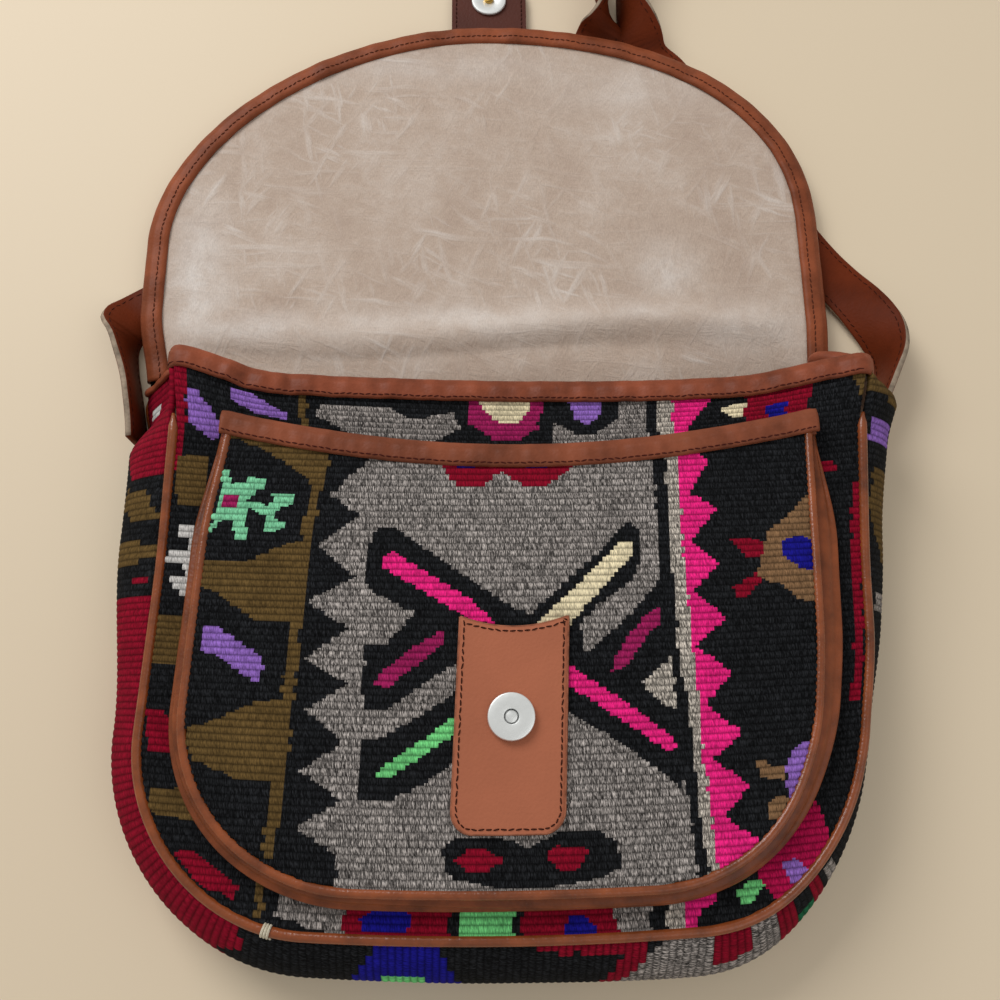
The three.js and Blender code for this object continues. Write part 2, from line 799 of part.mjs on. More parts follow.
// The origin is at the middle of the bag's footprint, without the strap
const footprint = new THREE.Box3();
for (const mesh of bag.children) {
  if (mesh.name !== "strap") footprint.expandByObject(mesh);
}
const middle = footprint.getCenter(new THREE.Vector3());
bag.position.set(-middle.x, -middle.y, -footprint.min.z);

const part = new THREE.Group();
part.add(bag);
export default part;
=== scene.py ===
"""A kilim messenger bag lying on its back with its flap laid open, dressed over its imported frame.

Sizes are millimetres in the bag's own places: y runs up from the bottom seam and x from the body's
middle line. The helpers turn them into metres in the frame.
"""

import json
import math

import bpy
import numpy as np
from mathutils import Matrix, Vector

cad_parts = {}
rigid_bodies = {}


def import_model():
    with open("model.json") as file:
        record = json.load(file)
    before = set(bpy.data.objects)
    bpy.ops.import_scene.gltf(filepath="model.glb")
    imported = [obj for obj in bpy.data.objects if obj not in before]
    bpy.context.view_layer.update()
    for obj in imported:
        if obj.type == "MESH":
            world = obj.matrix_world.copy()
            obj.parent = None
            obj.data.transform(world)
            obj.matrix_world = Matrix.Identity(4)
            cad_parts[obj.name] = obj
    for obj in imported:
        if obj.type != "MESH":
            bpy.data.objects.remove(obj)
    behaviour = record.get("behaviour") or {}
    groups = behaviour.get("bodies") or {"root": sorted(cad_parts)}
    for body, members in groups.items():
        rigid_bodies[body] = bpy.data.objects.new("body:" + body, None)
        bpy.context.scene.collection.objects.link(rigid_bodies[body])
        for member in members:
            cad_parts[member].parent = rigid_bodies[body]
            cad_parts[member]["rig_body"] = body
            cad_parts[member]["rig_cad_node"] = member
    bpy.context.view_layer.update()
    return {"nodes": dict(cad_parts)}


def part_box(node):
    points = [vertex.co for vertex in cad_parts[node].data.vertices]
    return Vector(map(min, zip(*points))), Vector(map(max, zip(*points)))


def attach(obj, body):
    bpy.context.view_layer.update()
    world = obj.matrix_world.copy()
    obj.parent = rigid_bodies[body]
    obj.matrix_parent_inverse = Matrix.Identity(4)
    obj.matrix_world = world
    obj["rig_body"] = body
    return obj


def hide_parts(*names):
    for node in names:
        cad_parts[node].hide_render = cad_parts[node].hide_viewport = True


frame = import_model()

MM = 0.001

# Play between layers that lie on each other
PLAY = 0.3

# Body, as in the part's source
BODY_HALF = 144.0
BODY_HEIGHT = 231.0
BODY_CORNER = 70.0
BODY_DEPTH = 40.0
BOTTOM_CROWN = 9.0
BODY_LEAN = 0.045
LEAN_PIVOT = 133.0
PIPING_RADIUS = 2.1
CORNER_RISE = 8.0
FIELD_SAG = 4.0
FIELD_SAG_REACH = 70.0
MOUTH_SAG = 11.0
MOUTH_SAG_REACH = 105.0
HEM = 12.0
# How far the gusset stands out at each half station of its seam, left mouth corner to right
GUSSET_SWELL = (14.0, 21.0, 13.0, 14.0, 14.5, 15.5, 5.0, 11.5, 18.0)
GUSSET_LIFT = 12.0
FOLD_REACH = 39.0
LEFT_FOLD = 1.0
CORNER_SPREAD = 28.0
CORNER_SPREAD_REACH = 78.0
CORNER_SPREAD_FROM = 40.0
CORNER_FLARE = 5.0
CORNER_FLARE_REACH = 36.0

# Soft shapes of the body that are the scene's own
RIGHT_FOLD = 14.0
RIGHT_FOLD_REACH = 18.0
RIGHT_FOLD_HEM = 2.0
PIPING_START = 27.0
PIPING_BITE = 0.6
MOUTH_DROP = 4.5
MOUTH_TILT = 0.02
MOUTH_TILT_REACH = 50.0
LEFT_EAR = 9.0
LEFT_EAR_FROM = 104.0
RIGHT_EAR = 6.0
RIGHT_EAR_FROM = 90.0
END_RISE = 9.0
RIGHT_DRAW = 5.5
RIGHT_DRAW_FROM = 84.0
RIGHT_DRAW_BELOW = 112.0
RIGHT_DRAW_REACH = 62.0
CORNER_TRIM = 7.0
CORNER_TRIM_SIDE = 5.0
MOUTH_TUCK = 1.0

# Flap
FLAP_HALF = 161.0
FLAP_CENTRE = -11.0
FLAP_TIP = 432.0
FLAP_SPREAD = 42.0
FLAP_LIFT = 6.5
LIFT_BEFORE = 34.0
LIFT_AFTER = 36.0
FLAP_BINDING_START = 6.0
# Where the flap starts to round off and how full the round is, left (-1) and right (1)
FLAP_ROUND = {-1: (308.0, 1.85), 1: (318.0, 2.2)}

# Outside pocket
POCKET_HALF = 120.0
POCKET_BOTTOM = 17.0
POCKET_TOP = 205.0
POCKET_CORNER = 64.0
POCKET_SEAM = 52.0
POCKET_CROWN = 1.0
POCKET_SAG = 7.0
POCKET_END_DROP = 2.0
POCKET_SAG_REACH = 90.0
POCKET_DROP = 1.5
POCKET_DIP = 12.8
POCKET_PIPING_RADIUS = 1.9
POCKET_PIPING_START = 4.0
POCKET_TUCK = 1.5
POCKET_LEAN = 4.7
POCKET_LEAN_FROM = 40.0
POCKET_FLARE_SIDE = 11.0
POCKET_FLARE_BOTTOM = 6.0
POCKET_FLARE_TOP = 3.0
POCKET_FLARE_REACH = 60.0

# Patch, tongue and snap
PATCH_HALF = 20.9
PATCH_BOTTOM = 38.0
PATCH_TOP = 118.0
PATCH_CORNER = 8.0
PATCH_DIP = 4.0
PATCH_DIP_REACH = 30.0
PATCH_LEATHER = 1.5
TONGUE_HALF = 19.5
TONGUE_CENTRE = -8.0
TONGUE_BASE = 422.0
TONGUE_END = 476.0

# Cloth and leather
KILIM = 2.5
CANVAS = 1.0
BINDING_LEATHER = 1.2
BINDING_DEPTH = 9.0
BINDING_DOME = 0.5
BINDING_REACH = 1.6
BINDING_EASE = 0.25
EDGE_TUCK = 1.6
RIDGE_PITCH = 2.75
ROWS_PER_RIDGE = 3
THREAD_STEP = 1.5
STEP_SOFTNESS = 0.62
WEFT_STEP = 0.38
WEFT_SLANT = 1.2
RIDGE_SHIFT = 7.31
RIDGE_SWELL = 0.6
FLAT_SWELL = 0.3
PANEL_RAGGED = 0.6
MAP_UNIT = 100.0
GRAIN_SCALE = 900.0

# Stitches and smooth paths
STITCH_RINGS = 4
STITCH_SIDES = 6
STITCH_SLANT = 0.15
DENSE_STEPS = 6

# Strap: route points x, y, height of the middle, and tilt in degrees, 0 flat and 90 on edge
STRAP_WIDTH = 23.0
STRAP_THICKNESS = 3.0
STRAP_ROUTE = (
    (-168.4, 205, 11.9, 90),
    (-169.4, 213, 11.9, 90),
    (-171.4, 224, 11.9, 90),
    (-173.8, 235, 11.9, 90),
    (-176.8, 246, 11.9, 86),
    (-179.2, 257, 11.7, 74),
    (-180.4, 264.5, 9, 42),
    (-176.5, 272.5, 3.4, 7),
    (-165, 280.5, 2.2, 1),
    (-149, 289, 2, 0),
    (-52, 352, 2, 0),
    (28, 402, 2, 0),
    (41, 414, 2, 0),
    (48, 430.5, 2.2, 2),
    (52.5, 438.5, 9.5, 52),
    (52.5, 448, 12.2, 86),
    (46, 476, 12.2, 90),
    (28, 510, 12.2, 90),
    (9, 552, 12.2, 90),
    (22.5, 584.5, 12.2, 90),
    (55, 598, 12.2, 90),
    (87.5, 584.5, 12.2, 90),
    (101, 552, 12.2, 90),
    (81, 510, 12.2, 90),
    (67.5, 484, 12.2, 90),
    (63, 466, 12.2, 86),
    (64.5, 447.5, 11.6, 72),
    (68.5, 436.5, 9.4, 50),
    (73.8, 424.5, 2.2, 3),
    (84, 412, 2, 0),
    (101, 385, 2, 0),
    (150, 304, 2, 0),
    (161, 289, 2.7, 4),
    (170, 275, 6.4, 18),
    (176.5, 261, 9.6, 43),
    (178.6, 249, 11.5, 68),
    (176.5, 238, 11.8, 84),
    (171.6, 227, 11.8, 86),
    (166.3, 216, 11.8, 86),
    (161.9, 200, 11.8, 86),
)

# The bottom seam's middle in the frame, from the tongue's own box
tongue_low, tongue_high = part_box("tongue_inner")
ORIGIN = np.array(
    [
        (tongue_low.x + tongue_high.x) / 2 / MM - TONGUE_CENTRE,
        tongue_low.y / MM - TONGUE_BASE,
        0.0,
    ]
)

UP = np.array([0.0, 0.0, 1.0])
dice = np.random.default_rng(7)


def srgb(red, green, blue):
    """A colour given as it looks on a screen, 0 to 255, in the linear values that shaders take."""
    values = []
    for part in (red, green, blue):
        share = part / 255
        values.append(share / 12.92 if share <= 0.04045 else ((share + 0.055) / 1.055) ** 2.4)
    return (*values, 1.0)


# Shape of the bag


def smooth(value, low, high):
    share = np.clip((value - low) / (high - low), 0, 1)
    return share * share * (3 - 2 * share)


def mix(a, b, share):
    return a + (b - a) * share


def bell(offset, width):
    """A round swell that is 1 at no offset and fades over a width to both sides."""
    return np.exp(-((offset / width) ** 2))


def unit(vectors):
    return vectors / np.maximum(np.linalg.norm(vectors, axis=-1, keepdims=True), 1e-9)


def middles(values):
    return (values[1:] + values[:-1]) / 2


def settle(x, y, z):
    """The body's lean, the round of its bottom edge, its drawn right corner and its pulled mouth corners."""
    low = np.clip(1 - y / BODY_HEIGHT, 0, 1)
    crown = BOTTOM_CROWN * (x / BODY_HALF) ** 2 * low
    to_back = smooth(BODY_DEPTH - z, 0, BODY_DEPTH)
    to_mouth = smooth(y, BODY_HEIGHT - CORNER_SPREAD_REACH, BODY_HEIGHT)
    to_left = smooth(-x, CORNER_SPREAD_FROM, BODY_HALF)
    spread = CORNER_SPREAD * to_back * to_mouth * to_left
    to_corner = smooth(y, BODY_HEIGHT - CORNER_FLARE_REACH, BODY_HEIGHT) * (1 - to_back)
    flare = CORNER_FLARE * to_corner * (x / BODY_HALF) ** 3
    left_ear = LEFT_EAR * smooth(-x, LEFT_EAR_FROM, BODY_HALF)
    right_ear = RIGHT_EAR * smooth(x, RIGHT_EAR_FROM, BODY_HALF)
    tilt = MOUTH_TILT * np.clip(x, -MOUTH_TILT_REACH, MOUTH_TILT_REACH)
    rise = to_corner * (left_ear + right_ear - MOUTH_DROP - tilt)
    to_right = smooth(x, RIGHT_DRAW_FROM, BODY_HALF)
    drawn = RIGHT_DRAW * to_right * smooth(RIGHT_DRAW_BELOW - y, 0, RIGHT_DRAW_REACH)
    across = x + BODY_LEAN * (y - LEAN_PIVOT) - spread + flare - drawn
    return np.stack(np.broadcast_arrays(across, y + crown + rise, z), -1)


def front_height(x, y):
    """Height of the middle of the front panel's kilim."""
    edge = np.minimum((x / BODY_HALF) ** 2, 1)
    mouth = smooth(y, BODY_HEIGHT - MOUTH_SAG_REACH, BODY_HEIGHT - HEM)
    field = FIELD_SAG * np.sin(np.pi / 2 * np.clip(y / FIELD_SAG_REACH, 0, 1))
    return BODY_DEPTH + CORNER_RISE * mouth * edge - (field + MOUTH_SAG * mouth) * (1 - edge)


def back_lift(y):
    return FLAP_LIFT * smooth(y, BODY_HEIGHT - LIFT_BEFORE, BODY_HEIGHT + LIFT_AFTER)


def back_seam(y):
    return PIPING_RADIUS + PLAY + back_lift(y)


def back_face(y):
    """Height of the face between the back's kilim and its lining."""
    return KILIM + back_lift(y)


def pocket_height(x, y):
    """Height of the middle of the pocket's kilim."""
    edge = np.minimum((x / POCKET_HALF) ** 2, 1)
    along = np.clip((y - POCKET_BOTTOM) / (POCKET_TOP - POCKET_BOTTOM), 0, 1)
    crown = POCKET_CROWN * (1 - edge) * np.sin(np.pi * along)
    mouth = smooth(y, POCKET_TOP - POCKET_SAG_REACH, POCKET_TOP - HEM)
    return POCKET_SEAM + crown - mouth * mix(POCKET_SAG, POCKET_END_DROP, edge)


def below_pocket_top(y):
    """How far down from the pocket's top edge its sides have spread, 0 to 1."""
    return smooth(POCKET_TOP - y, 0, POCKET_FLARE_REACH)


def pocket_settle(x, y, z):
    """Places on the pocket, whose left side leans out below its top edge."""
    lean = POCKET_LEAN * smooth(-x, POCKET_LEAN_FROM, POCKET_HALF) * below_pocket_top(y)
    return settle(x - lean, y, z)


def pocket_top(x):
    """The pocket's hollow top edge."""
    return POCKET_TOP - POCKET_DROP - POCKET_DIP * (1 - np.minimum((x / POCKET_HALF) ** 2, 1))


# A panel with a U-shaped seam: half width, corner radius, bottom and top
BODY_RIM = (BODY_HALF, BODY_CORNER, 0.0, BODY_HEIGHT)
POCKET_RIM = (POCKET_HALF, POCKET_CORNER, POCKET_BOTTOM, POCKET_TOP)


def rim(half, corner, bottom, top, along):
    """The U-shaped seam at distances from its left top: x, y, way out and station 0 to 4."""
    side = top - bottom - corner
    arc = np.pi / 2 * corner
    flat = 2 * (half - corner)
    total = 2 * (side + arc) + flat
    mirrored = along > total / 2
    run = np.where(mirrored, total - along, along)
    angle = np.clip((run - side) / corner, 0, np.pi / 2)
    past = np.clip(run - side - arc, 0, None)
    x = corner - half - corner * np.cos(angle) + past
    y = np.where(run < side, top - run, bottom + corner - corner * np.sin(angle))
    station = np.clip(run / side, 0, 1) + angle / np.pi + past / flat
    sign = np.where(mirrored, -1.0, 1.0)
    out = np.stack([-np.cos(angle) * sign, -np.sin(angle)], -1)
    return x * sign, y, out, np.where(mirrored, 4 - station, station)


def rim_length(half, corner, bottom, top):
    return 2 * (top - bottom - corner) + np.pi * corner + 2 * (half - corner)


def inside_rim(rim_sizes, edge, x, y):
    """Whether places lie inside a panel's seam by an edge or more."""
    half, corner, bottom, _ = rim_sizes
    turn = corner - edge
    deep = np.clip((bottom + corner - y) / turn, 0, 1)
    return (np.abs(x) < half - corner + turn * np.sqrt(1 - deep**2)) & (y > bottom + edge)


def cubic(points, share):
    weights = ((1 - share) ** 3, 3 * share * (1 - share) ** 2, 3 * share**2 * (1 - share), share**3)
    return sum(w[..., None] * p for w, p in zip(weights, points))


def seam_start(height, direction, side, radius, thickness):
    """Where a sheet leaves a piped seam along a direction, in (out, height)."""
    way = unit(direction)
    outward = np.stack([way[..., 1], -way[..., 0]], -1) * side
    start = np.stack([np.zeros_like(height), height], -1)
    return start + way * radius - outward * thickness / 2


def gusset_swell(station):
    """How far the gusset stands out, from values at every half station."""
    place = 2 * station
    first = np.minimum(place.astype(int), len(GUSSET_SWELL) - 2)
    swells = np.array(GUSSET_SWELL)
    return mix(swells[first], swells[first + 1], smooth(place - first, 0, 1))


def gusset_point(along, across):
    """Inner face of the gusset's kilim; across is 0 at the back seam and 1 at the front seam."""
    x, y, out, station = rim(*BODY_RIM, along)
    left_fold = smooth(y, BODY_HEIGHT - FOLD_REACH, BODY_HEIGHT - HEM)
    right_fold = smooth(y, BODY_HEIGHT - RIGHT_FOLD_REACH, BODY_HEIGHT - RIGHT_FOLD_HEM)
    fold = np.where(x < 0, left_fold, right_fold)
    tuck = fold * np.where(x < 0, LEFT_FOLD, RIGHT_FOLD)
    # A cubic bulges three quarters of the way to its handles
    handle = 4 / 3 * gusset_swell(station) * (1 - fold)
    lift = np.full_like(handle, GUSSET_LIFT)
    leave_back = np.stack([handle, lift], -1)
    leave_front = np.stack([handle, -lift], -1)
    radius = PIPING_RADIUS * PIPING_BITE
    back = seam_start(back_seam(y), leave_back, 1, radius, KILIM)
    front = seam_start(front_height(x, y), leave_front, -1, radius, KILIM)
    point = cubic((back, back + leave_back, front + leave_front, front), across)
    bow = np.sin(np.pi * across) ** 2
    step = point[..., 0] - tuck * bow
    end = END_RISE * bow * np.where(x < 0, 0.0, right_fold)
    return settle(x + out[..., 0] * step, y + out[..., 1] * step + end, point[..., 1])


def flap_side(side, y):
    """The flap's round outline, its left edge for side -1 and its right edge for 1."""
    shoulder, fullness = FLAP_ROUND[side]
    rise = np.clip((y - shoulder) / (FLAP_TIP - shoulder), 0, 1)
    return FLAP_CENTRE + side * FLAP_HALF * (1 - rise**fullness) ** (1 / fullness)


def flap_limits(y):
    """Left and right edges of the flap, which widen from the mouth's corners."""
    spread = smooth(y, BODY_HEIGHT, BODY_HEIGHT + FLAP_SPREAD)
    limits = []
    for side in (-1, 1):
        corner = settle(side * BODY_HALF, BODY_HEIGHT, back_face(BODY_HEIGHT))[0]
        limits.append(mix(corner, flap_side(side, y), spread))
    return limits


def back_place(share, y, edge):
    """A place on the back or the flap at a share of its width, the flap drawn in by an edge."""
    body = settle((2 * share - 1) * BODY_HALF, y, back_face(y))
    left, right = flap_limits(y)
    flap = np.stack([mix(left + edge, right - edge, share), y, back_face(y)], -1)
    return np.where((y < BODY_HEIGHT)[..., None], body, flap)


def on_back(share, y, edge):
    """Whether places given by a share of the width lie on the back or the flap."""
    return (y > BODY_HEIGHT) | inside_rim(BODY_RIM, edge, (2 * share - 1) * BODY_HALF, y)


# Meshes


def to_frame(points):
    return (np.asarray(points, float) + ORIGIN) * MM


def mesh_piece(name, points, faces):
    """A smooth object whose points are given in the bag's own places, none of them under the floor."""
    mesh = bpy.data.meshes.new(name)
    places = to_frame(points)
    places[:, 2] = np.maximum(places[:, 2], 0)
    mesh.from_pydata(places.tolist(), [], [list(map(int, f)) for f in faces])
    mesh.update()
    mesh.shade_smooth()
    piece = bpy.data.objects.new(name, mesh)
    bpy.context.collection.objects.link(piece)
    return piece


def make_active(piece):
    bpy.ops.object.select_all(action="DESELECT")
    piece.select_set(True)
    bpy.context.view_layer.objects.active = piece


def thicken(piece, thickness):
    """Gives a sheet its thickness, inward from the face that its normals look out of."""
    make_active(piece)
    shell = piece.modifiers.new("thickness", "SOLIDIFY")
    shell.thickness = thickness * MM
    shell.offset = -1
    shell.use_rim = True
    bpy.ops.object.modifier_apply(modifier=shell.name)


def grid_sheet(name, points, kept=None):
    """A sheet over a grid of points, all its faces or the kept ones, and the points that it uses."""
    rows, columns = points.shape[:2]
    row, column = np.meshgrid(np.arange(rows - 1), np.arange(columns - 1), indexing="ij")
    corner = row * columns + column
    faces = np.stack([corner, corner + 1, corner + columns + 1, corner + columns], -1).reshape(-1, 4)
    if kept is not None:
        faces = faces[kept.reshape(-1)]
    used, renumbered = np.unique(faces, return_inverse=True)
    return mesh_piece(name, points.reshape(-1, 3)[used], renumbered.reshape(faces.shape)), used


def grid_normals(points):
    along = np.gradient(points, axis=1)
    across = np.gradient(points, axis=0)
    return unit(np.cross(along, across))


def smooth_path(points, count):
    """Evenly stepped places on a smooth curve through a list of points."""
    points = np.asarray(points, float)
    steps = np.linalg.norm(np.diff(points[:, :3], axis=0), axis=1) ** 0.5
    knots = np.concatenate([[0], np.cumsum(steps)])
    ahead = 2 * points[-1] - points[-2]
    behind = 2 * points[0] - points[1]
    padded = np.vstack([behind, points, ahead])
    places = np.concatenate([[-steps[0]], knots, [knots[-1] + steps[-1]]])
    dense = np.linspace(0, knots[-1], count * DENSE_STEPS)
    span = np.clip(np.searchsorted(knots, dense, side="right") - 1, 0, len(points) - 2)
    t = [places[span + k] for k in range(4)]
    p = [padded[span + k] for k in range(4)]

    def blend(low, high, a, b):
        share = ((dense - low) / (high - low))[:, None]
        return a * (1 - share) + b * share

    a1 = blend(t[0], t[1], p[0], p[1])
    a2 = blend(t[1], t[2], p[1], p[2])
    a3 = blend(t[2], t[3], p[2], p[3])
    curve = blend(t[1], t[2], blend(t[0], t[2], a1, a2), blend(t[1], t[3], a2, a3))
    return even_steps(curve, count)


def even_steps(path, count):
    run = run_along(path)
    at = np.linspace(0, run[-1], count)
    return np.stack([np.interp(at, run, path[:, k]) for k in range(path.shape[1])], -1)


def run_along(path):
    lengths = np.linalg.norm(np.diff(path[:, :3], axis=0), axis=1)
    return np.concatenate([[0], np.cumsum(lengths)])


def upright(path):
    return np.broadcast_to(UP, path.shape)


def sides_of(path, ups):
    """The two ways across a path: away from its right side, and up."""
    tangents = unit(np.gradient(path, axis=0))
    sides = unit(np.cross(tangents, ups))
    return sides, np.cross(sides, tangents)


def tube_faces(rings, count):
    """Faces of a tube made of rings of points, with a flat face on each end."""
    first, place = np.meshgrid(np.arange(rings - 1) * count, np.arange(count), indexing="ij")
    after = (place + 1) % count
    walls = np.stack([first + place, first + after, first + count + after, first + count + place], -1)
    end = list(range(count))
    return [*walls.reshape(-1, 4).tolist(), end[::-1], [(rings - 1) * count + k for k in end]]


def sweep(name, path, ups, sections):
    """A closed section (up, side), one for all the path or one at each place, carried along it."""
    sections = np.asarray(sections, float)
    if sections.ndim == 2:
        sections = np.repeat(sections[None], len(path), axis=0)
    sides, normals = sides_of(path, ups)
    points = path[:, None] + sections[..., :1] * normals[:, None] + sections[..., 1:] * sides[:, None]
    return mesh_piece(name, points.reshape(-1, 3), tube_faces(*points.shape[:2]))


def round_section(radius, count=12):
    angles = np.arange(count) / count * 2 * np.pi
    return np.stack([radius * np.cos(angles), radius * np.sin(angles)], -1)


def folded_section(low, high):
    """Leather folded over an edge whose layers fill low to high, with a round bend and a domed top."""
    middle = (low + high) / 2
    half = (high - low) / 2 + BINDING_EASE
    outside = half + BINDING_LEATHER
    lip = BINDING_LEATHER * 0.35
    turn = np.linspace(np.pi / 2, -np.pi / 2, 7)

    def bend(height, reach):
        return np.stack([height * np.sin(turn), reach * np.cos(turn) - BINDING_LEATHER], -1).tolist()

    across = np.linspace(-0.9, 0.7, 5)
    dome = np.stack([outside + BINDING_DOME * (1 - across**2), BINDING_DEPTH / 2 * (across - 1)], -1)
    section = [
        (outside - lip, -BINDING_DEPTH),
        (outside, lip - BINDING_DEPTH),
        *dome,
        *bend(outside, BINDING_REACH + BINDING_LEATHER),
        (-outside, lip - BINDING_DEPTH),
        (lip - outside, -BINDING_DEPTH),
        (-half, -BINDING_DEPTH),
        *bend(half, BINDING_REACH)[::-1],
        (half, -BINDING_DEPTH),
    ]
    return np.array(section) + [middle, 0.0]


def stitches(name, path, ups, lift, inset, length=2.2, pitch=2.75, thread=0.32):
    """A row of sewn stitches, each a short round thread that dips at both ends."""
    run = run_along(path)
    starts = np.arange(pitch / 2, run[-1] - pitch, pitch)
    sides, normals = sides_of(path, ups)
    shares = np.linspace(0, 1, STITCH_RINGS)
    at = starts[:, None] + shares * length

    def along(values):
        return np.stack([np.interp(at, run, values[:, axis]) for axis in range(3)], -1)

    side = along(sides)
    normal = along(normals)
    slants = dice.uniform(-STITCH_SLANT, STITCH_SLANT, len(starts))
    aside = slants[:, None] * (shares - 0.5) * 4
    arch = thread * (np.sin(np.pi * (0.1 + 0.8 * shares)) - 0.6)
    middle = along(path + normals * lift - sides * inset) + normal * arch[:, None] + side * aside[..., None]
    ends = np.isin(shares, (0, 1))
    section = round_section(1.0, STITCH_SIDES) * thread
    ring = section * np.where(ends, 0.7, 1.0)[:, None, None]
    points = middle[:, :, None] + ring[..., :1] * normal[:, :, None] + ring[..., 1:] * side[:, :, None]
    one = tube_faces(STITCH_RINGS, STITCH_SIDES)
    step = STITCH_RINGS * STITCH_SIDES
    faces = [[k * step + corner for corner in face] for k in range(len(starts)) for face in one]
    return mesh_piece(name, points.reshape(-1, 3), faces)


# Kilim: yarns, motifs and the woven panels

YARNS = {
    "black": srgb(24, 25, 27),
    "crimson": srgb(128, 11, 35),
    "pink": srgb(226, 36, 122),
    "rose": srgb(170, 18, 70),
    "magenta": srgb(148, 30, 84),
    "purple": srgb(136, 98, 178),
    "mint": srgb(122, 196, 152),
    "green": srgb(110, 200, 122),
    "olive": srgb(92, 72, 40),
    "grey": srgb(124, 118, 114),
    "stone": srgb(158, 150, 140),
    "cream": srgb(222, 208, 172),
    "white": srgb(206, 204, 200),
    "blue": srgb(24, 22, 128),
    "tan": srgb(124, 94, 66),
    "dark green": srgb(24, 92, 60),
}
# How much of each yarn is drawn as light and dark strands: grey and stone are marled, while black's share
# paints bright strokes as sheen, a painted highlight on its fibres
MARL_AND_SHEEN = {"grey": 1.0, "stone": 0.8, "black": 0.8}


def rectangle(left, low, right, high):
    return ((left, low), (right, low), (right, high), (left, high))


def diamond(y, half, rise):
    return ((-half, y), (0, y - rise), (half, y), (0, y + rise))


def stripe(left, right):
    """A stripe all the way up the back and the flap."""
    return rectangle(left, -5, right, 440)


